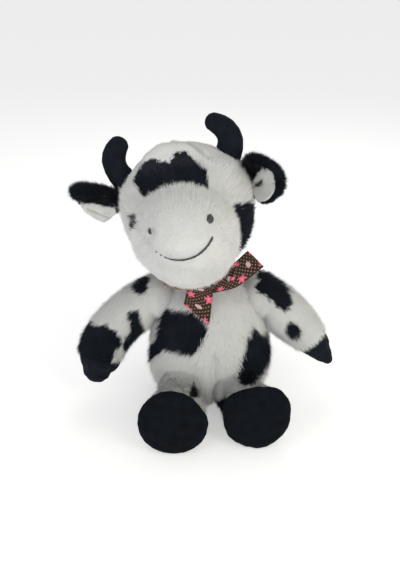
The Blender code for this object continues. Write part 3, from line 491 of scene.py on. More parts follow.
# %% [markdown]
# ## Velour on horns, hands and soles
# The velour is short and dense, so its pile is left to the material: a fine bump and a soft sheen
# at grazing angles. Its shape comes from Blender's cloth. The even skin is held at its seam and
# inside, given a little spare cloth, and blown up for a few steps, which rounds it and leaves the
# shallow creases that stuffed cloth has. How far a point may move is capped.

# %% Velour material
def velour_finish(name, low, high, sheen):
    material = bpy.data.materials.new(name)
    shader = shader_of(material)
    tree = material.node_tree
    nap = noise(tree, 1500, 3.0)
    cloud = noise(tree, 120, 2.0)
    tone = sum_of(tree, "ADD", sum_of(tree, "MULTIPLY", nap, 0.5), sum_of(tree, "MULTIPLY", cloud, 0.5))
    tree.links.new(ramp(tree, [(0.35, low), (0.65, high)], tone), shader.inputs["Base Color"])
    shader.inputs["Roughness"].default_value = 0.85
    shader.inputs["Specular IOR Level"].default_value = 0.06
    shader.inputs["Sheen Weight"].default_value = sheen
    shader.inputs["Sheen Roughness"].default_value = 0.45
    bumped(tree, shader, nap, 0.25 * MM, 0.6)
    return material


black_velour = velour_finish("black_velour", (0.005, 0.0065, 0.010), (0.011, 0.014, 0.021), 0.02)
sole_velour = velour_finish("sole_velour", (0.002, 0.0028, 0.0045), (0.005, 0.0068, 0.0105), 0.01)
white_velour = velour_finish("white_velour", (0.60, 0.60, 0.58), (0.72, 0.72, 0.69), 0.05)
print("finishes:", black_velour.name, white_velour.name)

# %% Blowing cloth up
CLOTH_STEPS = 14


def plumped(piece, pressure, spare, most):
    """Blows the outer side up a little. Its inner side and its open edge are held."""
    mesh = piece.data
    before = coordinates(mesh)
    outer = np.zeros(len(before), bool)
    outer[np.unique(outer_triangles(mesh)[0])] = True
    held = piece.vertex_groups.new(name="held")
    held.add(np.nonzero(~outer)[0].tolist(), 1.0, "REPLACE")
    cloth = piece.modifiers.new("cloth", "CLOTH")
    cloth.settings.vertex_group_mass = "held"
    cloth.settings.use_pressure = True
    cloth.settings.uniform_pressure_force = pressure
    cloth.settings.shrink_min = -spare
    cloth.settings.mass = 0.05
    cloth.settings.effector_weights.gravity = 0
    cloth.collision_settings.use_collision = False
    scene = bpy.context.scene
    for step in range(1, CLOTH_STEPS + 1):
        scene.frame_set(step)
    ready = piece.evaluated_get(bpy.context.evaluated_depsgraph_get())
    after = coordinates(ready.data)
    piece.modifiers.remove(cloth)
    piece.vertex_groups.remove(held)
    scene.frame_set(1)
    moves = after - before
    far = np.linalg.norm(moves, axis=1, keepdims=True)
    put_coordinates(mesh, before + moves * np.minimum(1, most / np.maximum(far, 1e-9)))
    print(piece.name, "moved by up to", round(far.max() / MM, 2), "mm, and on average",
          round(far[outer].mean() / MM, 2))


# %% Outlines of the soles
# How far out the edge goes at each angle, anticlockwise from the picture's right
SOLE_OUTLINES = {
    "right": [(0, 1.0), (38, 0.94), (72, 1.0), (108, 1.05), (139, 1.04), (180, 1.0), (211, 1.01),
              (270, 1.0), (321, 1.02)],
    "left": [(0, 0.96), (35, 1.08), (60, 1.12), (84, 1.04), (108, 1.0), (146, 1.08), (180, 0.96),
             (226, 1.0), (270, 1.02), (320, 0.95)],
}


def warped_outline(mesh, node, outline):
    """Moves a sole's edge out or in, by a smooth curve through the outline's shares."""
    angles = np.radians([angle for angle, _ in outline] + [360])
    shares = np.array([share for _, share in outline] + [outline[0][1]])
    low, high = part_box(node)
    middle = np.array((low + high) / 2)
    points = coordinates(mesh)
    away = points - middle
    turn = np.arctan2(away[:, 2], away[:, 0]) % (2 * math.pi)
    place = np.clip(np.searchsorted(angles, turn, side="right") - 1, 0, len(angles) - 2)
    part = (turn - angles[place]) / (angles[place + 1] - angles[place])
    eased = (1 - np.cos(math.pi * np.clip(part, 0, 1))) / 2
    share = shares[place] * (1 - eased) + shares[place + 1] * eased
    points[:, 0] = middle[0] + away[:, 0] * share
    points[:, 2] = np.maximum(middle[2] + away[:, 2] * share, points[:, 2].min())
    put_coordinates(mesh, points)


# %% Making the velour pieces
# voxel, pressure, spare cloth as a share, and the most that a point may move
VELOUR = {
    "horn_right": (1.0 * MM, 12, 0.02, 0.6 * MM),
    "horn_left": (1.0 * MM, 12, 0.02, 0.6 * MM),
    "hand_right": (1.1 * MM, 12, 0.05, 1.2 * MM),
    "hand_left": (1.1 * MM, 12, 0.05, 1.2 * MM),
    "sole_right": (1.3 * MM, 12, 0.04, 1.6 * MM),
    "sole_left": (1.3 * MM, 12, 0.05, 1.6 * MM),
}
# How far the tip of a horn leans out and sinks
HORN_LEANS = {"horn_right": Vector((-4.4, 0, -2.4)) * MM, "horn_left": Vector((-0.6, 0, 0)) * MM}


def leaned(mesh, move):
    """Leans a horn over, by more the higher a point is."""
    points = coordinates(mesh)
    low, high = points[:, 2].min(), points[:, 2].max()
    share = ((points[:, 2] - low) / (high - low)) ** 1.4
    put_coordinates(mesh, points + share[:, None] * np.array(move))


velour_pieces = []
for node, (voxel, pressure, spare, most) in VELOUR.items():
    piece = evened(node, node.replace("hand", "hand_velour").replace("sole", "sole_velour")
                   .replace("horn", "horn_velour"), voxel, smoothing=3)
    if node.startswith("sole"):
        warped_outline(piece.data, node, SOLE_OUTLINES[node.split("_")[1]])
    if node in HORN_LEANS:
        leaned(piece.data, HORN_LEANS[node])
    plumped(piece, pressure, spare, most)
    piece.data.materials.append(sole_velour if node.startswith("sole") else black_velour)
    piece.modifiers.new("finer", "SUBSURF").levels = 1
    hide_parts(node)
    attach(piece, BODY_OF[node])
    velour_pieces.append(piece)

# %% [markdown]
# ## Embroidery on the face
# The nostrils are satin stitch: threads laid side by side across an oval. The smile is a line of
# back stitches, each a short thread that dips at both ends. At its far end the thread sinks into
# the pile, so the stitches get thinner there and leave gaps.

# %% Thread material
def thread_finish():
    material = bpy.data.materials.new("black_thread")
    shader = shader_of(material)
    tree = material.node_tree
    fibre = noise(tree, 2500, 2.0)
    colour = ramp(tree, [(0.3, (0.020, 0.021, 0.023)), (0.7, (0.050, 0.052, 0.054))], fibre)
    tree.links.new(colour, shader.inputs["Base Color"])
    shader.inputs["Roughness"].default_value = 0.45
    bumped(tree, shader, fibre, 0.1 * MM, 0.5)
    return material


black_thread = thread_finish()


# %% Laying threads
def threads_mesh(name, paths, out, sides=6):
    """Round threads in one mesh. Each path is a list of (place, radius)."""
    shape = bmesh.new()
    for path in paths:
        rings = []
        for i, (place, radius) in enumerate(path):
            way = path[min(i + 1, len(path) - 1)][0] - path[max(i - 1, 0)][0]
            side = way.cross(out).normalized()
            other = side.cross(way).normalized()
            turns = [2 * math.pi * j / sides for j in range(sides)]
            rings.append([
                shape.verts.new(place + (side * math.cos(t) + other * math.sin(t)) * radius)
                for t in turns
            ])
        for low, high in zip(rings, rings[1:]):
            for j in range(sides):
                k = (j + 1) % sides
                shape.faces.new((low[j], low[k], high[k], high[j]))
        shape.faces.new(rings[0][::-1])
        shape.faces.new(rings[-1])
    bmesh.ops.recalc_face_normals(shape, faces=shape.faces)
    mesh = bpy.data.meshes.new(name)
    shape.to_mesh(mesh)
    shape.free()
    return mesh


def muzzle_way(turn, rise):
    """The way from the muzzle's middle, turned aside and raised, in degrees, from straight ahead."""
    turn, rise = math.radians(turn), math.radians(rise)
    level = math.cos(rise)
    return HEAD_TURN @ Vector((level * math.sin(turn), -level * math.cos(turn), math.sin(rise)))


# %% Nostrils
# turn, rise, half width, half height and slant of each
NOSTRILS = {
    "right": (-34.5, 21.3, 1.5 * MM, 2.6 * MM, 24),
    "left": (41, 19.6, 2.9 * MM, 4.0 * MM, -38),
}
SATIN_THREADS = 11
SATIN_POINTS = 9
face_pieces = []
for word, (turn, rise, half_width, half_height, slant) in NOSTRILS.items():
    out = muzzle_way(turn, rise)
    across = out.cross(HEAD_UP).normalized()
    rising = across.cross(out).normalized()
    slanted = Matrix.Rotation(math.radians(slant), 3, out)
    across, rising = slanted @ across, slanted @ rising
    seat = MUZZLE_MIDDLE + out * (MUZZLE_RADIUS + 0.3 * MM)
    paths = []
    for i in range(SATIN_THREADS):
        aside = 2 * (i + 0.5) / SATIN_THREADS - 1
        reach = half_height * math.sqrt(1 - aside**2) * (1 + 0.06 * rng.normal())
        path = []
        for j in range(SATIN_POINTS):
            along = 2 * j / (SATIN_POINTS - 1) - 1
            arch = 1.2 * MM * math.sqrt(max(1 - along**2, 0)) * (1 - 0.45 * aside**2)
            place = seat + across * half_width * aside + rising * reach * along + out * arch
            path.append((place, half_width / SATIN_THREADS * 1.35))
        paths.append(path)
    nostril = new_piece(f"nostril_{word}_satin", threads_mesh(f"nostril_{word}", paths, out), black_thread)
    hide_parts(f"nostril_{word}")
    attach(nostril, "head")
    face_pieces.append(nostril)
print("nostrils of", SATIN_THREADS, "threads each")

# %% Smile
SMILE_TURN, SMILE_HALF_TURN = 2.4, 32.3
SMILE_END_RISE, SMILE_LEAN, SMILE_DROP, SMILE_ROUNDNESS = -0.4, -0.3, 14.7, 2.2
SMILE_STITCHES = 15
STITCH_POINTS = 7


def smile_place(share, lift):
    """A place on the smile, from -1 at its right end to 1 at its left, above the muzzle's skin."""
    rise = SMILE_END_RISE - SMILE_DROP * (1 - abs(share) ** SMILE_ROUNDNESS) + SMILE_LEAN * share
    out = muzzle_way(SMILE_TURN + share * SMILE_HALF_TURN, rise)
    return MUZZLE_MIDDLE + out * (MUZZLE_RADIUS + lift)


paths = []
for i in range(SMILE_STITCHES):
    start = -1 + 2 * i / SMILE_STITCHES
    overlap = 0.35 if i > 2 else (-0.55, -0.35, 0.0)[i]
    end = start + 2 / SMILE_STITCHES * (1 + overlap)
    thick = MM * min(0.86, 0.40 + 0.06 * i) * (0.85 + 0.3 * rng.random())
    path = []
    for j in range(STITCH_POINTS):
        along = j / (STITCH_POINTS - 1)
        arch = math.sin(math.pi * along) ** 0.5
        lift = 0.4 * MM + 0.9 * MM * arch
        path.append((smile_place(start + (end - start) * along, lift), thick * (0.45 + 0.55 * arch)))
    paths.append(path)
smile = new_piece("smile_stitches", threads_mesh("smile_stitches", paths, FACE_AHEAD), black_thread)
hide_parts("smile_thread")
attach(smile, "head")
face_pieces.append(smile)
print("smile of", SMILE_STITCHES, "stitches")

# %% [markdown]
# ## The ribbon
# One satin ribbon, 22 mm wide, goes round the neck in folds, through a knot, and ends in a tail
# that hangs down the chest, one that points up to the left shoulder, and a short end that shows its
# back. Its print is generic: rows of tan dots with small pink blossoms and pale drops, all drawn by
# nodes from the ribbon's own measure, which runs in millimetres across and along it.

# %% Ribbon materials
RIBBON_WIDTH = 22 * MM
RIBBON_THICKNESS = 0.35 * MM
UV_MM = 100.0


def cell_offset(tree, value, pitch, shift):
    """How far a place is from the middle of its cell, in millimetres."""
    moved = sum_of(tree, "ADD", sum_of(tree, "DIVIDE", value, pitch), shift)
    share = sum_of(tree, "SUBTRACT", sum_of(tree, "FRACT", moved), 0.5)
    return sum_of(tree, "MULTIPLY", share, pitch)


def hypotenuse(tree, first, second):
    squares = [sum_of(tree, "MULTIPLY", value, value) for value in (first, second)]
    return sum_of(tree, "SQRT", sum_of(tree, "ADD", *squares))


def grid_of(tree, u, v, pitch_u, pitch_v, shift_u, shift_v):
    return (cell_offset(tree, u, pitch_u, shift_u), cell_offset(tree, v, pitch_v, shift_v))


def soft_below(tree, value, limit, softness):
    """1 where a value is below a limit, 0 above it, and soft between."""
    node = tree.nodes.new("ShaderNodeMapRange")
    node.inputs["From Min"].default_value = limit - softness
    node.inputs["From Max"].default_value = limit + softness
    node.inputs["To Min"].default_value = 1.0
    node.inputs["To Max"].default_value = 0.0
    tree.links.new(value, node.inputs["Value"])
    return node.outputs[0]


def ribbon_measure(tree):
    place = tree.nodes.new("ShaderNodeUVMap")
    place.uv_map = "ribbon_mm"
    split = tree.nodes.new("ShaderNodeSeparateXYZ")
    tree.links.new(place.outputs[0], split.inputs[0])
    return [sum_of(tree, "MULTIPLY", split.outputs[axis], UV_MM) for axis in ("X", "Y")]


def weave_on(tree, shader, u, v, depth):
    """Fine ribs across the ribbon. Noise breaks them up, so that they don't stand in lines from afar."""
    wander = sum_of(tree, "MULTIPLY", noise(tree, 500), 9.0)
    ribs = sum_of(tree, "SINE", sum_of(tree, "ADD", sum_of(tree, "MULTIPLY", v, 2 * math.pi / 0.8), wander))
    cross = sum_of(tree, "SINE", sum_of(tree, "ADD", sum_of(tree, "MULTIPLY", u, 2 * math.pi / 0.6), wander))
    bumped(tree, shader, sum_of(tree, "ADD", ribs, sum_of(tree, "MULTIPLY", cross, 0.4)), depth, 0.4)


# %% Printed side
def printed_finish():
    material = bpy.data.materials.new("ribbon_print")
    shader = shader_of(material)
    tree = material.node_tree
    u, v = ribbon_measure(tree)
    cloth = ramp(tree, [(0.3, (0.014, 0.006, 0.006)), (0.7, (0.028, 0.012, 0.011))], noise(tree, 700))
    dots = []
    for shift in (0.0, 0.5):
        dots.append(hypotenuse(tree, *grid_of(tree, u, v, 4.4, 3.4, shift, shift)))
    dot = soft_below(tree, sum_of(tree, "MINIMUM", *dots), 0.52, 0.16)
    colour = mixed(tree, "MIX", dot, cloth, (0.36, 0.21, 0.12))
    aside, ahead = grid_of(tree, u, v, 15.0, 19.0, 0.30, 0.62)
    turn = sum_of(tree, "ARCTAN2", ahead, aside)
    petals = sum_of(tree, "COSINE", sum_of(tree, "MULTIPLY", turn, 5.0))
    reach = sum_of(tree, "ADD", 2.9, sum_of(tree, "MULTIPLY", petals, 1.0))
    far = hypotenuse(tree, aside, ahead)
    blossom = soft_below(tree, sum_of(tree, "SUBTRACT", far, reach), 0.0, 0.15)
    colour = mixed(tree, "MIX", blossom, colour, (0.72, 0.11, 0.20))
    heart = soft_below(tree, far, 0.8, 0.15)
    colour = mixed(tree, "MIX", heart, colour, (0.60, 0.26, 0.30))
    aside, ahead = grid_of(tree, u, v, 15.0, 19.0, 0.80, 0.12)
    drop = hypotenuse(tree, sum_of(tree, "MULTIPLY", aside, 0.62), ahead)
    colour = mixed(tree, "MIX", soft_below(tree, drop, 1.8, 0.15), colour, (0.52, 0.36, 0.36))
    tree.links.new(colour, shader.inputs["Base Color"])
    shader.inputs["Roughness"].default_value = 0.6
    shader.inputs["Specular IOR Level"].default_value = 0.2
    weave_on(tree, shader, u, v, 0.03 * MM)
    return material


def plain_finish(name, low, high):
    material = bpy.data.materials.new(name)
    shader = shader_of(material)
    tree = material.node_tree
    u, v = ribbon_measure(tree)
    tree.links.new(ramp(tree, [(0.3, low), (0.7, high)], noise(tree, 900)), shader.inputs["Base Color"])
    shader.inputs["Roughness"].default_value = 0.6
    shader.inputs["Specular IOR Level"].default_value = 0.2
    weave_on(tree, shader, u, v, 0.04 * MM)
    return material


ribbon_print = printed_finish()
ribbon_back = plain_finish("ribbon_back", (0.17, 0.085, 0.040), (0.30, 0.165, 0.085))
print("finishes:", ribbon_print.name, ribbon_back.name)


# %% Ribbon cloth from rows of places
def smooth_curve(rows, count):
    """Places at even steps along a Catmull-Rom curve through rows of numbers."""
    rows = np.array(rows, float)
    last = len(rows) - 1
    found = []
    for position in np.linspace(0, last, count):
        start = min(int(position), last - 1)
        t = position - start
        a, b, c, d = (rows[min(max(start + k, 0), last)] for k in (-1, 0, 1, 2))
        curve = 2 * b + (c - a) * t + (2 * a - 5 * b + 4 * c - d) * t**2
        found.append((curve + (3 * b - a - 3 * c + d) * t**3) / 2)
    return np.array(found)


def ribbon_cloth(name, grid, wide_mm, long_mm, finishes, closed=False, start_mm=0.0):
    """Cloth over a grid of places, rows along the ribbon, with its measure as a map."""
    rows, columns = grid.shape[:2]
    faces, places = [], []
    for i in range(rows if closed else rows - 1):
        for j in range(columns - 1):
            k = (i + 1) % rows
            faces.append((i * columns + j, i * columns + j + 1, k * columns + j + 1, k * columns + j))
            for row, column in ((i, j), (i, j + 1), (i + 1, j + 1), (i + 1, j)):
                across = wide_mm * column / (columns - 1)
                ahead = start_mm + long_mm * row / (rows - 1)
                places.append((across / UV_MM, ahead / UV_MM))
    mesh = bpy.data.meshes.new(name)
    mesh.from_pydata(grid.reshape(-1, 3).tolist(), [], faces)
    uv = mesh.uv_layers.new(name="ribbon_mm")
    uv.data.foreach_set("uv", np.array(places, np.float32).ravel())
    piece = new_piece(name, mesh, *finishes)
    thick = piece.modifiers.new("thickness", "SOLIDIFY")
    thick.thickness = RIBBON_THICKNESS
    thick.material_offset = 1
    thick.material_offset_rim = 1
    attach(piece, "torso")
    return piece


# %% Neck band in folds
NECK_RADIUS = 26.3 * MM
BAND_MIDDLE = HEAD_PIVOT - Vector((0, 0, 6.5 * MM))
# How far out and up the ribbon is at each fold of the band
BAND_FOLDS = [(0.2, -3.4), (0.3, 0.0), (0.25, 3.2), (0.6, 3.5), (0.7, 0.0), (0.75, -3.2), (1.05, -3.5),
              (1.2, 0.0), (1.3, 3.3)]
BAND_STEPS = 96
folds = smooth_curve(BAND_FOLDS, 33) * MM
grid = np.empty((BAND_STEPS, len(folds), 3))
for i in range(BAND_STEPS):
    turn = 2 * math.pi * i / BAND_STEPS
    slack = 1 + 0.10 * math.sin(5 * turn) + 0.06 * math.sin(11 * turn + 1)
    radius = NECK_RADIUS + folds[:, 0] * slack
    grid[i, :, 0] = BAND_MIDDLE.x + radius * math.cos(turn)
    grid[i, :, 1] = BAND_MIDDLE.y + radius * math.sin(turn)
    grid[i, :, 2] = BAND_MIDDLE.z + folds[:, 1] + 0.25 * MM * math.sin(4 * turn)
around = 2 * math.pi * NECK_RADIUS
band = ribbon_cloth("ribbon_band_cloth", grid, 22, around / MM, (ribbon_print, ribbon_back), closed=True)
band.modifiers["thickness"].thickness = 0.2 * MM
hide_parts("ribbon_neck_band")
print("neck band", round(around / MM), "mm long")

# %% Knot
knot_low, knot_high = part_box("ribbon_knot")
KNOT = (knot_low + knot_high) / 2
KNOT_HALF = (knot_high - knot_low) / 2
KNOT_STEPS, KNOT_COLUMNS = 48, 61
grid = np.empty((KNOT_STEPS, KNOT_COLUMNS, 3))
for i in range(KNOT_STEPS):
    turn = 2 * math.pi * i / KNOT_STEPS
    for j in range(KNOT_COLUMNS):
        aside = 2 * j / (KNOT_COLUMNS - 1) - 1
        barrel = math.sqrt(1 - 0.62 * aside**2) - 0.05
        pleat = 1 - 0.40 * (0.5 + 0.5 * math.cos(6 * math.pi * aside + 0.5 * math.sin(turn)))
        grid[i, j] = (
            KNOT.x + KNOT_HALF.x * aside * (0.92 + 0.06 * math.cos(turn)),
            KNOT.y + KNOT_HALF.y * barrel * pleat * math.cos(turn),
            KNOT.z + KNOT_HALF.z * barrel * pleat * math.sin(turn),
        )
knot_around = 31 * MM
knot = ribbon_cloth("ribbon_knot_cloth", grid, 22, knot_around / MM, (ribbon_print, ribbon_back), closed=True)
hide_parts("ribbon_knot")

# %% Tails
FRONT_TAIL_LENGTH = 36 * MM
SIDE_TAIL_LENGTH = 50 * MM
# Shares of length, lift and width down the front tail, as in the model
FRONT_TAIL_SHARES = [(0.00, 0.00, 0.70), (0.15, 0.00, 0.92), (0.32, 0.12, 1.00), (0.55, 0.55, 1.00),
                     (0.78, 0.88, 1.00), (1.00, 1.00, 1.00)]
FRONT_TAIL_ASIDE, FRONT_TAIL_LIFT, FRONT_TAIL_SLANT_SHARE = 4 * MM, 4 * MM, 0.44
TAIL_ROWS, TAIL_COLUMNS = 40, 25
grid = np.empty((TAIL_ROWS, TAIL_COLUMNS, 3))
for i, (down, ahead, width) in enumerate(smooth_curve(FRONT_TAIL_SHARES, TAIL_ROWS)):
    for j in range(TAIL_COLUMNS):
        across = j / (TAIL_COLUMNS - 1)
        slanted = FRONT_TAIL_SLANT_SHARE + (1 - FRONT_TAIL_SLANT_SHARE) * across
        curl = 0.9 * MM * (2 * across - 1) ** 2 - 0.5 * MM * math.sin(2.2 * math.pi * across) * down
        grid[i, j] = (
            KNOT.x - FRONT_TAIL_ASIDE * down + RIBBON_WIDTH / 2 * width * (2 * across - 1),
            knot_low.y - 0.6 * MM - FRONT_TAIL_LIFT * ahead + curl,
            knot_high.z - FRONT_TAIL_LENGTH * slanted * down,
        )
front_tail = ribbon_cloth("ribbon_front_tail_cloth", grid[:, ::-1], 22, FRONT_TAIL_LENGTH / MM,
                          (ribbon_print, ribbon_back))
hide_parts("ribbon_front_tail")

# Shares of the side tail's length, from the knot, at its lower and upper edge, as in the model
SIDE_TAIL_SHARES = [
    (0.00, 0.00, -0.08, 0.00, 0.00, 0.08), (0.16, -0.14, 0.02, 0.12, -0.08, 0.26),
    (0.42, -0.16, 0.10, 0.30, -0.04, 0.42), (0.66, -0.10, 0.26, 0.47, 0.04, 0.55),
    (0.89, 0.00, 0.42, 0.62, 0.12, 0.66),
]
side_start = np.array((knot_high.x + 0.9 * MM, KNOT.y, KNOT.z))
grid = np.empty((TAIL_ROWS, TAIL_COLUMNS, 3))
for i, row in enumerate(smooth_curve(SIDE_TAIL_SHARES, TAIL_ROWS)):
    lower, upper = side_start + row[:3] * SIDE_TAIL_LENGTH, side_start + row[3:] * SIDE_TAIL_LENGTH
    for j in range(TAIL_COLUMNS):
        across = j / (TAIL_COLUMNS - 1)
        down = i / (TAIL_ROWS - 1)
        bow = 1.0 * MM * math.sin(math.pi * across) * math.sin(math.pi * min(down * 1.3, 1))
        ripple = 0.35 * MM * math.sin(9 * down + 3 * across)
        grid[i, j] = lower + (upper - lower) * across + np.array((0, -bow - ripple, 0))
side_tail = ribbon_cloth("ribbon_side_tail_cloth", grid[:, ::-1], 22, SIDE_TAIL_LENGTH / MM,
                         (ribbon_print, ribbon_back), start_mm=4)
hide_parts("ribbon_side_tail")

# %% Short end and fold
SHORT_END_EDGES = [
    ((-15.0, -37.5, 118.6), (-15.0, -36.5, 124.5)), ((-21.0, -39.5, 119.2), (-21.0, -36.0, 124.5)),
    ((-28.0, -39.5, 120.3), (-28.0, -36.0, 124.6)), ((-34.0, -37.5, 121.6), (-34.0, -35.5, 124.2)),
    ((-40.0, -34.5, 122.6), (-40.0, -34.0, 123.4)),
]
rows = smooth_curve([lower + upper for lower, upper in SHORT_END_EDGES], 24) * MM
across = np.linspace(0, 1, 9)[None, :, None]
grid = rows[:, None, :3] * (1 - across) + rows[:, None, 3:] * across
short_end = ribbon_cloth("ribbon_short_end", grid, 8, 26, (ribbon_back, ribbon_print))

FOLD_PLACES = [(239, 258), (236.5, 266), (233.5, 275), (231, 283)]
middle = as_array(on_skin("ribbon_side_tail", FOLD_PLACES))
print("the fold lies on", len(middle), "places of the side tail")
rows = smooth_curve(middle, 24) - np.array(sight) * 1.6 * MM
lean = np.array((1.0, 0.15, 0.25)) * 1.6 * MM
across = np.linspace(-1, 1, 9)[None, :, None]
grid = rows[:, None, :] + across * lean - np.array(sight) * 0.8 * MM * (1 - across**2)
fold = ribbon_cloth("ribbon_side_fold", grid, 4, 24, (ribbon_back, ribbon_print))
ribbon_pieces = [band, knot, front_tail, side_tail, short_end, fold]
print(len(ribbon_pieces), "pieces of ribbon")

# %% [markdown]
# ## Black patches
# Each patch is an outline, given in the picture, that is carried onto the skin along the sight lines.
# Patches that reach the outline of the toy go on round it. Those at the back can't be seen in the
# photograph, so they are free blots with a middle and a size. A wobble moves every edge a little.
# What counts is where the middle of a tuft lies, not its root, as that is what is seen.

# %% Outlines that the picture shows
FLANK = [(255, 328), (259, 333), (263, 336), (270, 332), (284, 345), (284, 366), (270, 362), (262, 376),
         (256, 382), (251, 385), (245, 386), (240, 384), (238, 377), (240, 369), (245, 356), (247, 344),
         (251, 335)]
CROTCH_PATCH = [(194, 381), (198, 391), (200, 397), (196, 398), (190, 396), (190, 390), (192, 386)]
PATCHES = {
    "head_skin": [
        [(133, 180), (138, 170), (142, 163), (148, 159), (155, 159), (163, 162), (170, 162),
         (172, 157), (177, 152), (184, 151), (189, 154), (194, 159), (200, 165), (207, 169),
         (208, 178), (209, 187), (206, 196), (180, 200), (163, 197), (155, 197), (149, 199),
         (143, 196), (138, 189)],
        [(233, 204), (239, 203), (243, 207), (245, 202), (251, 202), (262, 206), (262, 246),
         (247, 248), (238, 250), (236, 233), (236, 220), (234, 212)],
    ],
    "torso_skin": [
        [(157, 310), (161, 306), (166, 309), (175, 311), (187, 312), (197, 315), (203, 321),
         (207, 330), (206, 338), (201, 344), (196, 354), (190, 356), (180, 355), (170, 352),
         (162, 351), (156, 356), (152, 360), (144, 362), (140, 346), (149, 346), (154, 340),
         (157, 331), (158, 320)],
        FLANK,
        CROTCH_PATCH,
        [(249, 287), (252, 284), (255, 291), (256, 299), (251, 295)],
    ],
    "arm_right_sleeve": [
        [(133, 283), (139, 276), (145, 274), (150, 278), (149, 285), (146, 292), (140, 295),
         (135, 292), (132, 288)],
        [(80, 312), (90, 320), (95, 326), (105, 325), (112, 328), (117, 332), (121, 338),
         (123, 343), (118, 348), (114, 355), (112, 362), (110, 372), (60, 372), (60, 312)],
        [(128, 312), (135, 311), (141, 314), (140, 319), (143, 327), (146, 333), (141, 340),
         (137, 347), (134, 356), (128, 360), (126, 356), (124, 349), (122, 343), (128, 337),
         (131, 329), (130, 322), (127, 317)],
    ],
    "arm_left_sleeve": [
        [(256, 262), (266, 268), (275, 274), (284, 282), (290, 290), (292, 302), (290, 308),
         (285, 311), (279, 309), (271, 301), (264, 294), (257, 293), (255, 286), (259, 281),
         (257, 275)],
        [(291, 321), (300, 327), (302, 334), (296, 343), (290, 338), (285, 334), (286, 327)],
    ],
    "leg_left_skin": [FLANK, [(216, 402), (226, 396), (232, 400), (228, 412), (224, 420), (216, 416)]],
    "leg_right_skin": [CROTCH_PATCH],
}
# Outlines in which only a share of the tufts is black
SMALL_SPOT = [(129.5, 215), (135, 213.5), (136, 219), (134.5, 227), (131.5, 230), (129.5, 223)]
THIN_PATCHES = {
    "head_skin": [(SMALL_SPOT, 0.9)],
    "muzzle_skin": [(SMALL_SPOT, 0.9)],
    "torso_skin": [([(180, 388), (190, 386), (190, 398), (180, 398)], 0.10)],
    "leg_right_skin": [([(178, 388), (192, 386), (192, 398), (178, 398)], 0.10)],
    "leg_left_skin": [([(226, 392), (236, 390), (238, 396), (226, 400)], 0.15)],
}

# %% Blots that it doesn't show
BLOTS = {
    "head_skin": [
        ((-0.045, 0.030, 0.190), (0.020, 0.024, 0.022)),
        ((0.000, 0.045, 0.180), (0.020, 0.016, 0.024)),
        ((0.030, 0.010, 0.170), (0.012, 0.024, 0.026)),
        ((-0.030, 0.020, 0.150), (0.014, 0.014, 0.012)),
    ],
    "torso_skin": [
        ((-0.020, 0.045, 0.085), (0.024, 0.020, 0.020)),
        ((0.034, 0.030, 0.045), (0.020, 0.022, 0.022)),
        ((-0.045, 0.020, 0.035), (0.016, 0.018, 0.016)),
        ((0.030, 0.030, 0.105), (0.016, 0.016, 0.010)),
    ],
    "arm_right_sleeve": [
        ((-0.104, -0.018, 0.050), (0.030, 0.036, 0.020)),
        ((-0.070, 0.018, 0.090), (0.016, 0.014, 0.012)),
    ],
    "arm_left_sleeve": [
        ((0.060, 0.018, 0.100), (0.020, 0.012, 0.012)),
        ((0.085, 0.010, 0.075), (0.010, 0.012, 0.010)),
    ],
    "leg_right_skin": [((-0.046, -0.060, 0.020), (0.012, 0.016, 0.014))],
    "leg_left_skin": [((0.056, -0.058, 0.030), (0.010, 0.012, 0.012))],
}


# %% Telling black from white
def inside_outline(places, outline):
    """Even-odd test of many places against one outline."""
    inside = np.zeros(len(places), bool)
    x, y = places[:, 0], places[:, 1]
    for (x1, y1), (x2, y2) in zip(outline, outline[1:] + outline[:1]):
        if y1 == y2:
            continue
        crosses = (y1 > y) != (y2 > y)
        inside ^= crosses & (x < (x2 - x1) * (y - y1) / (y2 - y1) + x1)
    return inside


FRONT_LIMIT = -0.25
EDGE_WOBBLE_PIXELS = 1.0
EDGE_BLUR_PIXELS = 0.8


def is_black(node, points, normals):
    """Which points of a skin carry black pile."""
    if node.startswith("ear") or node == "tail_tuft":
        return np.ones(len(points), bool)
    places = picture_places(points)
    blur = np.random.default_rng(8).normal(size=places.shape)
    places += EDGE_BLUR_PIXELS * blur
    for axis, seed in ((0, 31), (1, 32)):
        places[:, axis] += EDGE_WOBBLE_PIXELS * wobble(points, 0.006, seed)
        places[:, axis] += EDGE_WOBBLE_PIXELS / 2 * wobble(points, 0.0022, seed + 7)
    facing = facing_camera(points, normals)
    front = facing > FRONT_LIMIT
    black = np.zeros(len(points), bool)
    for outline in PATCHES.get(node, []):
        black |= inside_outline(places, outline) & front
    chance = np.random.default_rng(9).random(len(points))
    for outline, share in THIN_PATCHES.get(node, []):
        black |= inside_outline(places, outline) & front & (chance < share)
    ragged = 1 + 0.12 * wobble(points, 0.008, 41) + 0.05 * wobble(points, 0.0025, 42)
    hidden = facing < 0.12
    for middle, radii in BLOTS.get(node, []):
        far = (((points - np.array(middle)) / np.array(radii)) ** 2).sum(axis=1)
        black |= (far < ragged) & hidden
    return black


print(sum(len(rows) for rows in PATCHES.values()), "patches in front and",
      sum(len(rows) for rows in BLOTS.values()), "behind")

# %% [markdown]
# ## Finishes for pile and backing
# A tuft is painted darker at its root, as painted shade where light hardly reaches, and each tuft has its own
# tone. Both are drawn on the tuft's own map: across it runs the tone, from black to white, and up it runs the way
# from root to tip. One material then serves all the pile, and a bake of it stays exact.

# %% Pile material
BLACK_TONES = [(0.0, (0.006, 0.008, 0.012)), (0.22, (0.010, 0.013, 0.020)), (0.44, (0.019, 0.023, 0.033))]
WHITE_TONES = [(0.47, (0.73, 0.73, 0.725)), (0.72, (0.79, 0.79, 0.78)), (1.0, (0.84, 0.84, 0.82))]


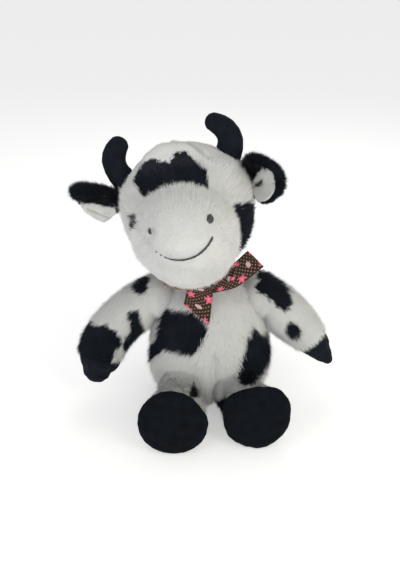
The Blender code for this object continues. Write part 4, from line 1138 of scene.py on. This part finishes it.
def pile_finish():
    material = bpy.data.materials.new("plush_pile")
    shader = shader_of(material)
    tree = material.node_tree
    place = tree.nodes.new("ShaderNodeUVMap")
    place.uv_map = "OFBake"
    split = tree.nodes.new("ShaderNodeSeparateXYZ")
    tree.links.new(place.outputs[0], split.inputs[0])
    tone = ramp(tree, BLACK_TONES + WHITE_TONES, split.outputs["X"])
    # Painted shade: each tuft's colour is darkened towards its root, as if shaded there by its neighbours.
    root_shade_stops = [(0.0, (0.78, 0.78, 0.79)), (0.45, (0.95, 0.95, 0.95)), (1.0, (1.0, 1.0, 1.0))]
    height = ramp(tree, root_shade_stops, split.outputs["Y"])
    tree.links.new(mixed(tree, "MULTIPLY", 1.0, tone, height), shader.inputs["Base Color"])
    shader.inputs["Roughness"].default_value = 0.85
    shader.inputs["Specular IOR Level"].default_value = 0.06
    shader.inputs["Sheen Weight"].default_value = 0.03
    shader.inputs["Sheen Roughness"].default_value = 0.5
    return material


pile_material = pile_finish()


# %% Backing material
def backing_finish():
    material = bpy.data.materials.new("plush_backing")
    shader = shader_of(material)
    tree = material.node_tree
    dark = tree.nodes.new("ShaderNodeAttribute")
    dark.attribute_name = "dark"
    weave = noise(tree, 900)
    white = ramp(tree, [(0.3, (0.66, 0.66, 0.655)), (0.7, (0.74, 0.74, 0.73))], weave)
    black = ramp(tree, [(0.3, (0.006, 0.008, 0.012)), (0.7, (0.014, 0.017, 0.025))], weave)
    colour = mixed(tree, "MIX", dark.outputs["Fac"], white, black)
    tree.links.new(colour, shader.inputs["Base Color"])
    bumped(tree, shader, weave, 0.3 * MM, 0.4)
    shader.inputs["Roughness"].default_value = 0.95
    return material


backing_material = backing_finish()
print("finishes:", pile_material.name, backing_material.name)

# %% [markdown]
# ## Growing pile
# A tuft is a narrow leaf of two faces that leans the way the pile is brushed and bends down at its
# tip. Roots are strewn evenly over the outer side of a skin. Tufts near each other lean together into
# locks, as pile does that has been stroked. A tuft ends where it meets a neighbour.

# %% Strewing roots
def strew(mesh, count, cover=None, where=None):
    """Roots and normals strewn evenly over the outer side of a skin, and that side's area."""
    faces, areas = outer_triangles(mesh, cover)
    if where is not None:
        wanted = where(coordinates(mesh)[faces].mean(axis=1))
        faces, areas = faces[wanted], areas[wanted]
    chosen = faces[rng.choice(len(faces), count, p=areas / areas.sum())]
    one, two = rng.random((2, count))
    swap = one + two > 1
    one[swap], two[swap] = 1 - one[swap], 1 - two[swap]
    weights = np.stack([1 - one - two, one, two], axis=1)[:, :, None]
    roots = (coordinates(mesh)[chosen] * weights).sum(axis=1)
    normals = normalised((vertex_normals(mesh)[chosen] * weights).sum(axis=1))
    return roots, normals, areas.sum()


# %% Leaning tufts into locks
def nearest_of(centres, points):
    tree = KDTree(len(centres))
    for i, centre in enumerate(centres):
        tree.insert(centre, i)
    tree.balance()
    return np.array([tree.find(point)[1] for point in points])


def drawn_together(roots, tips, per_lock, strength):
    """Moves tips towards the tip of a chosen tuft nearby."""
    leaders = np.arange(0, len(roots), per_lock)
    leader = leaders[nearest_of(roots[leaders].tolist(), roots.tolist())]
    pull = (strength * (0.6 + 0.8 * rng.random(len(roots))))[:, None]
    return tips + (tips[leader] - tips) * np.clip(pull, 0, 0.9)


# %% Making the mesh of tufts
FLOOR_CLEARANCE = 0.3 * MM
NORMAL_SHARE = 0.6


def tuft_mesh(name, roots, middles, tips, sides, normals, tones):
    """One mesh of leaves. Each has five corners: two at its root, two half way and one at its tip."""
    count = len(roots)
    points = np.empty((count, 5, 3))
    points[:, 0], points[:, 1] = roots - sides, roots + sides
    points[:, 2], points[:, 3] = middles + sides * 0.85, middles - sides * 0.85
    points[:, 4] = tips
    points[:, :, 2] = np.maximum(points[:, :, 2], FLOOR_CLEARANCE)
    mesh = bpy.data.meshes.new(name)
    mesh.vertices.add(count * 5)
    mesh.vertices.foreach_set("co", points.astype(np.float32).ravel())
    corner_numbers = np.array([0, 1, 2, 3, 3, 2, 4])
    loops = (np.arange(count)[:, None] * 5 + corner_numbers).ravel()
    mesh.loops.add(count * 7)
    mesh.loops.foreach_set("vertex_index", loops.astype(np.int32))
    mesh.polygons.add(count * 2)
    starts = (np.arange(count)[:, None] * 7 + np.array([0, 4])).ravel()
    mesh.polygons.foreach_set("loop_start", starts.astype(np.int32))
    mesh.update(calc_edges=True)
    half = 0.004
    across = np.array([-half, half, half, -half, -half, half, 0])
    up = np.array([0.02, 0.02, 0.5, 0.5, 0.5, 0.5, 0.98])
    places = np.empty((count, 7, 2))
    places[:, :, 0] = tones[:, None] + across
    places[:, :, 1] = up
    uv = mesh.uv_layers.new(name="OFBake")
    uv.data.foreach_set("uv", places.astype(np.float32).ravel())
    mesh.shade_smooth()
    leaf = normalised(np.cross(sides, tips - roots))
    shading = normalised(leaf * (1 - NORMAL_SHARE) + normals * NORMAL_SHARE)
    mesh.normals_split_custom_set_from_vertices(np.repeat(shading, 5, axis=0).tolist())
    return mesh


# %% Growing pile on one skin
HIDDEN_END = 0.3 * MM


def room_ahead(tree, roots, ways, lengths):
    """How far each tuft can run before it meets a neighbour."""
    room = lengths.copy()
    for i in range(len(roots)):
        hit = tree.ray_cast(Vector(roots[i]), Vector(ways[i]), lengths[i])
        if hit[0] is not None:
            room[i] = hit[3] + HIDDEN_END
    return room


def lit_side(roots, normals):
    """Normals for the light. Low at the front they turn up, as the pile there hangs over the legs."""
    low = np.clip((62 * MM - roots[:, 2]) / (16 * MM), 0, 1) * np.clip(-roots[:, 1] / (10 * MM), 0, 1)
    return normalised(normals + low[:, None] * np.array((0, -1.3, 1.5)))


def grow(name, skin, node, count, length, lift, flow, neighbours, width=0.30 * MM, per_lock=18,
         gather=0.18, gather_share=None, length_share=None, lift_extra=None, cover=None, where=None,
         straying=0.24, tone_noise=0.06):
    """Pile on a skin. flow gives the brushed way at points, and lift is the lean in degrees."""
    roots, normals, area = strew(skin.data, count, cover, where)
    ways = flow(roots, normals)
    ways = normalised(ways - normals * (ways * normals).sum(axis=1)[:, None])
    ways = normalised(ways + 0.16 * np.cross(normals, ways) * wobble(roots, 0.014, 5)[:, None]
                      + straying * rng.normal(size=roots.shape))
    lengths = length * (0.72 + 0.45 * rng.random(count))
    if length_share is not None:
        lengths *= length_share(roots, normals)
    lifts = np.radians(lift + 7 * rng.normal(size=count) + 5 * wobble(roots, 0.010, 8))
    if lift_extra is not None:
        lifts += np.radians(lift_extra(roots, normals))
    leans = normalised(ways * np.cos(lifts)[:, None] + normals * np.sin(lifts)[:, None])
    lengths = room_ahead(neighbours, roots + normals * 0.5 * MM, leans, lengths)
    keep = lengths > 0.8 * MM
    roots, normals, ways, lengths, lifts = (x[keep] for x in (roots, normals, ways, lengths, lifts))
    half = lengths[:, None] / 2
    low, high = lifts + 0.14, lifts - 0.20
    middles = roots + half * (ways * np.cos(low)[:, None] + normals * np.sin(low)[:, None])
    tips = middles + half * (ways * np.cos(high)[:, None] + normals * np.sin(high)[:, None])
    strength = gather if gather_share is None else gather * gather_share(roots)
    tips = drawn_together(roots, tips, per_lock, strength)
    turn = rng.normal(size=len(roots))[:, None] * 0.25
    sides = normalised(np.cross(ways, normals) + normals * turn)
    lit = lit_side(roots, normals)
    sides *= np.sign((np.cross(sides, tips - roots) * lit).sum(axis=1))[:, None]
    sides *= (width / 2 * (0.8 + 0.5 * rng.random(len(roots))))[:, None]
    black = is_black(node, middles + (tips - middles) * 0.15, normals)
    shade = 0.5 + 0.22 * wobble(roots, 0.020, 11) + tone_noise * rng.normal(size=len(roots))
    shade = np.clip(shade, 0, 1)
    tones = np.where(black, 0.02 + 0.40 * shade, 0.50 + 0.47 * shade)
    mesh = tuft_mesh(name, roots - normals * 0.3 * MM, middles, tips, sides, lit, tones)
    piece = new_piece(name, mesh, pile_material)
    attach(piece, BODY_OF[node])
    print(name, len(roots), "tufts,", round(len(roots) / (area / MM**2), 2), "to the square mm")
    return piece


# %% [markdown]
# ## The skins
# All the plush skins are made in one loop: an even backing, its folds and patches, and its pile.
# What differs is the size of the faces, how long and how upright the pile is, and which way it is
# brushed: down the torso, out along the limbs, and away from the nose on the head.

# %% Ways the pile is brushed
SEAM_X = 0.004


def down_from_seam(roots, normals):
    ways = np.zeros_like(roots)
    ways[:, 2] = -1
    ways[:, 0] = 0.30 * np.tanh((roots[:, 0] - SEAM_X) / 0.01) + 0.5 * near_seam(roots)
    return ways


def near_seam(roots):
    """From 0 away from the front seam to 1 or -1 on its two sides."""
    aside = (roots[:, 0] - SEAM_X) / (5 * MM)
    low_front = np.clip((70 * MM - roots[:, 2]) / (15 * MM), 0, 1) * (roots[:, 1] < 0)
    return np.exp(-(aside**2)) * np.sign(aside) * low_front


def torso_length(roots, normals):
    """Clipped short along the front seam."""
    return 1 - 0.6 * np.abs(near_seam(roots))


def from_the_nose(roots, normals):
    """Away from the nose all round, without order close to it, and a little down on the chin."""
    nose = np.array(MUZZLE_MIDDLE + FACE_AHEAD * MUZZLE_RADIUS)
    below = np.clip((nose[2] - roots[:, 2]) / 0.03, 0, 1)[:, None]
    near = np.exp(-((np.linalg.norm(roots - nose, axis=1) / 0.016) ** 2))[:, None]
    ways = normalised(roots - nose) + np.array([0, 0, -0.5]) * below
    return ways + 0.9 * near * rng.normal(size=roots.shape)


def along(way):
    return lambda roots, normals: np.tile(np.array(way, float), (len(roots), 1))


def back_over_head(roots, normals):
    """From the muzzle's rim up over the brow, and down at the back."""
    ways = normalised(roots - np.array(MUZZLE_MIDDLE))
    behind = np.clip((roots[:, 1] - 0.005) / 0.03, 0, 1)[:, None]
    return ways * (1 - behind) + np.array([0, 0.2, -1.0]) * behind


# %% What is near each skin
def neighbours_of(node, leave_out=()):
    """A search tree over all that the pile of a node could run into."""
    inner = ("stuffing", "bag", "nostril", "smile", "ribbon")
    near = [thing for name, thing in frame["nodes"].items() if name != node and name not in leave_out
            and not any(word in name for word in inner)]
    return tree_of(near + ribbon_pieces + [smile])


# %% How long the pile is on head and muzzle
def face_angle(roots):
    out = normalised(roots - np.array(MUZZLE_MIDDLE))
    return np.degrees(np.arccos(np.clip(out @ np.array(FACE_AHEAD), -1, 1)))


def muzzle_length(roots, normals):
    """Short on the nose and longer at the rim. The chin is clipped, but not below the left cheek."""
    share = np.clip(0.40 + (face_angle(roots) - 36) / 55, 0.40, 1.12)
    chin = np.clip((MUZZLE_MIDDLE.z - 0.014 - roots[:, 2]) / 0.012, 0, 1)
    aside = np.clip((roots[:, 0] - MUZZLE_MIDDLE.x) / 0.025, -1, 1)
    return share * (1 - 0.30 * chin * (1 - 1.6 * np.clip(aside, -0.6, 1)))


def muzzle_lift(roots, normals):
    """More upright at the rim, apart from the flat cheek at the picture's left."""
    flat = np.clip((MUZZLE_MIDDLE.x - 0.012 - roots[:, 0]) / 0.015, 0, 1)
    return np.clip((face_angle(roots) - 60) * 0.8, 0, 24) * (1 - 0.8 * flat)


def muzzle_gather(roots):
    """No locks on the nose."""
    return np.clip((face_angle(roots) - 35) / 30, 0, 1)


def head_length(roots, normals):
    """Short and smooth on the crown, longer on the cheeks and brow."""
    high = (roots - np.array(HEAD_MIDDLE)) @ np.array(HEAD_UP)
    return np.clip(0.26 + (0.040 - high) / 0.018, 0.26, 1.0)


# %% Dressing every skin
# voxel, tufts, length and lift of the pile
SKINS = {
    "torso_skin": (1.6 * MM, 66000, 8.0 * MM, 27),
    "head_skin": (1.5 * MM, 66000, 6.5 * MM, 26),
    "muzzle_skin": (1.4 * MM, 66000, 6.5 * MM, 22),
    "arm_right_sleeve": (1.3 * MM, 40000, 7.0 * MM, 27),
    "arm_left_sleeve": (1.3 * MM, 36000, 7.0 * MM, 27),
    "leg_right_skin": (1.3 * MM, 34000, 7.5 * MM, 9),
    "leg_left_skin": (1.3 * MM, 34000, 7.5 * MM, 9),
}
FLOWS = {
    "torso_skin": down_from_seam,
    "head_skin": back_over_head,
    "muzzle_skin": from_the_nose,
    "arm_right_sleeve": along((-0.055, -0.017, -0.050)),
    "arm_left_sleeve": along((0.053, -0.005, -0.045)),
    "leg_right_skin": along((0, -1, -0.4)),
    "leg_left_skin": along((0, -1, -0.4)),
}
HEM_HEIGHT = 50 * MM
LEAVE_OUT = {
    "torso_skin": ("leg_right_skin", "leg_left_skin"),
    "head_skin": ("muzzle_skin",),
    "muzzle_skin": ("head_skin",),
    "leg_right_skin": ("torso_skin",),
    "leg_left_skin": ("torso_skin",),
}
EXTRA = {
    "torso_skin": {"length_share": torso_length},
    "muzzle_skin": {"length_share": muzzle_length, "lift_extra": muzzle_lift,
                    "gather_share": muzzle_gather},
    "head_skin": {"length_share": head_length},
}


def backed(node, name, voxel, smoothing=6):
    """The even backing of a plush node, with its patches marked."""
    backing = evened(node, name, voxel, smoothing)
    formed(backing.data, node)
    points, normals = coordinates(backing.data), vertex_normals(backing.data)
    dark = backing.data.attributes.new("dark", "FLOAT", "POINT")
    dark.data.foreach_set("value", is_black(node, points, normals).astype(np.float32))
    backing.data.materials.append(backing_material)
    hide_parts(node)
    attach(backing, BODY_OF[node])
    return backing


for node, (voxel, count, length, lift) in SKINS.items():
    name = node.replace("_skin", "")
    backing = backed(node, name + "_backing", voxel)
    near = neighbours_of(node, LEAVE_OUT.get(node, ()))
    grow(name + "_pile", backing, node, count, length, lift, FLOWS[node], near, **EXTRA.get(node, {}))
    if node == "torso_skin":
        low_front = lambda points: (points[:, 2] < HEM_HEIGHT) & (points[:, 1] < 0)
        grow("torso_hem_pile", backing, node, 22000, 10.5 * MM, 22, FLOWS[node], near, where=low_front,
             length_share=torso_length)

# %% [markdown]
# ## Ears
# An ear is a leaf of black plush sewn to a smaller one of white velour, rolled at its root. The
# pile of the back stands out round the whole edge. One ear is seen from above, with its lining
# turned down, and the other is folded forward at its root, so that black pile covers the inner
# third of its lining.

# %% Creases of the linings
# line in the picture, half width, and push away from the camera
LINING_CREASES = {
    "right": [([(84, 205), (96, 208.5), (108, 210), (118, 210)], 1.0 * MM, 1.4 * MM)],
    "left": [([(249, 186), (256, 182.5), (262, 178)], 1.1 * MM, 2.0 * MM)],
}
# In the picture, where black pile lies over a lining
FOLDED_OVER = {
    "right": [(60, 180), (125, 180), (125, 209), (116, 206.5), (104, 204), (92, 201), (78, 198), (60, 192)],
    "left": [(230, 150), (261, 150), (261, 165), (258, 170), (254, 176), (249, 183), (245, 191),
             (238, 196), (230, 196)],
}
# How a lining's lower edge is let out: from which row, over how many, aside, down, and further near its root
LET_OUT = {
    "right": (202, 12, -0.6 * MM, 3.8 * MM, 5.0 * MM),
    "left": (184, 12, -2.4 * MM, 4.2 * MM, 0.0),
}
ROOT_COLUMNS = (92, 20)
TIP_COLUMN = 98
EAR_PILES = {"right": 7.2 * MM, "left": 8.4 * MM}
EAR_TUFTS = 18000


def from_root(root, tip, bend):
    """Out from the ear's root, and to both edges of the leaf."""
    start = np.array(root + (tip - root) * bend)
    return lambda roots, normals: roots - start


def rim_rows(points):
    """Rows in the picture, counted lower towards the tip of the ear at the left, where its rim rises."""
    places = picture_places(points)
    return places[:, 1] + np.clip((TIP_COLUMN - places[:, 0]) * 0.5, 0, 12)


def let_out(mesh, first_row, rows, aside, down, further):
    """Lets out the lower edge of a lining, so that it reaches over the edge of the back."""
    points = coordinates(mesh)
    share = np.clip((rim_rows(points) - first_row) / rows, 0, 1)[:, None]
    near_root = np.clip((picture_places(points)[:, :1] - ROOT_COLUMNS[0]) / ROOT_COLUMNS[1], 0, 1)
    lengths = down + further * near_root
    move = np.array((aside, 0, 0)) - np.array(upward) * lengths - np.array(sight) * 1.0 * MM
    put_coordinates(mesh, points + share * move)


# How far the tip of each ear moves aside and down, and its upper edge rises
EAR_MOVES = {"right": (6.0 * MM, 1.0 * MM, 7.0 * MM), "left": (-0.6 * MM, 3.4 * MM, 0.0)}
UPPER_EDGE_ROW = 193


def eased_ear(mesh, word, root, length):
    """Shapes an ear a little: its tip sinks and turns, and its upper edge stands up."""
    points = coordinates(mesh)
    aside, down, rise = EAR_MOVES[word]
    share = np.clip(np.linalg.norm(points - np.array(root), axis=1) / length, 0, 1)[:, None]
    above = np.clip((UPPER_EDGE_ROW - picture_places(points)[:, 1]) / 8, 0, 1)[:, None]
    move = (np.array((aside, 0, 0)) - np.array(upward) * down) * share**1.5
    put_coordinates(mesh, points + move + np.array(upward) * rise * above * np.sin(math.pi * share)**0.5)


def rim_length(word):
    """Short pile along the edge where the lining was let out."""
    first_row, rows = LET_OUT[word][:2]
    short = 0.22 if word == "right" else 0.55
    return lambda roots, normals: np.interp(rim_rows(roots),
                                            [first_row + 0.4 * rows, first_row + rows], [1.0, short])


for side, word in SIDES:
    root = JOINT_PLACES[f"ear_{word}_flop"]
    low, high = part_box(f"ear_{word}_lining")
    tip = root + ((low + high) / 2 - root) * 2
    lining = evened(f"ear_{word}_lining", f"ear_{word}_lining_velour", 0.4 * MM, smoothing=4)
    for places, width, push in LINING_CREASES[word]:
        pushed(lining.data, on_skin(f"ear_{word}_lining", places), width, np.array(sight) * push)
    length = (tip - root).length
    eased_ear(lining.data, word, root, length)
    let_out(lining.data, *LET_OUT[word])
    lining.data.materials.append(white_velour)
    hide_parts(f"ear_{word}_lining")
    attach(lining, f"ear_{word}")
    backing = backed(f"ear_{word}_back", f"ear_{word}_backing", 0.8 * MM, smoothing=3)
    eased_ear(backing.data, word, root, length)
    near = neighbours_of(f"ear_{word}_back", (f"ear_{word}_lining",))
    grow(f"ear_{word}_pile", backing, f"ear_{word}_back", EAR_TUFTS, EAR_PILES[word], 40,
         from_root(root, tip, 0.12), near, cover=tree_of([lining]), gather=0.35,
         length_share=rim_length(word))
    outline = FOLDED_OVER[word]
    on_fold = lambda points: inside_outline(picture_places(points), outline)
    grow(f"ear_{word}_fold_pile", lining, f"ear_{word}_back", 6000, 5.0 * MM, 30,
         from_root(root, tip, -0.3), near, cover=tree_of([backing]), where=on_fold)

# %% [markdown]
# ## Tail
# The photograph doesn't show the toy's back. Such a toy has a short tail with a tuft, so a thin one
# in white pile hangs there with a black tuft at its end.

# %% Tail
for node, count, length in (("tail_cord", 3500, 3.5 * MM), ("tail_tuft", 4500, 9.0 * MM)):
    backing = backed(node, node + "_backing", 0.7 * MM, smoothing=3)
    grow(node + "_pile", backing, node, count, length, 24, along((0, 0.1, -1)),
         neighbours_of(node, ("tail_cord", "tail_tuft")))

# %% [markdown]
# ## What is inside
# The skins are filled with polyester fibre, and a small cotton bag of pellets weighs down the seat.
# Nobody sees them while the toy is whole, but each is a piece of its own with its own finish.

# %% Fibre and pellets
def fibre_finish():
    material = bpy.data.materials.new("fibre_filling")
    shader = shader_of(material)
    tree = material.node_tree
    wisps = noise(tree, 260, 6.0, stretch=(1.0, 1.0, 0.35))
    tree.links.new(ramp(tree, [(0.3, (0.74, 0.74, 0.73)), (0.7, (0.90, 0.90, 0.89))], wisps),
                   shader.inputs["Base Color"])
    shader.inputs["Roughness"].default_value = 0.95
    bumped(tree, shader, wisps, 1.0 * MM, 0.8)
    return material


def bag_finish():
    material = bpy.data.materials.new("cotton_bag")
    shader = shader_of(material)
    tree = material.node_tree
    weave = noise(tree, 1400, 2.0)
    tree.links.new(ramp(tree, [(0.3, (0.58, 0.55, 0.48)), (0.7, (0.74, 0.71, 0.64))], weave),
                   shader.inputs["Base Color"])
    shader.inputs["Roughness"].default_value = 0.9
    bumped(tree, shader, weave, 0.3 * MM, 0.7)
    return material


fibre, cotton = fibre_finish(), bag_finish()
LOOSENESS = 0.35 * MM
fillings = [node for node in frame["nodes"] if node.endswith("_stuffing")] + ["seat_pellet_bag"]
for node in fillings:
    filling = evened(node, node.replace("stuffing", "filling") + "_loose", 2.0 * MM, smoothing=4)
    points, normals = coordinates(filling.data), vertex_normals(filling.data)
    lumps = wobble(points, 0.009, 61) - 1.0
    put_coordinates(filling.data, points + normals * (LOOSENESS * lumps)[:, None])
    skin = node.replace("stuffing", "skin")
    if skin in FORMS:
        formed(filling.data, skin, filling=True)
    filling.data.materials.append(cotton if node == "seat_pellet_bag" else fibre)
    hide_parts(node)
    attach(filling, BODY_OF[node])
print(len(fillings), "fillings")

# %% Measuring the toy
low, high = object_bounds()
print("visual box", [[round(x / MM, 1) for x in corner] for corner in (low, high)])
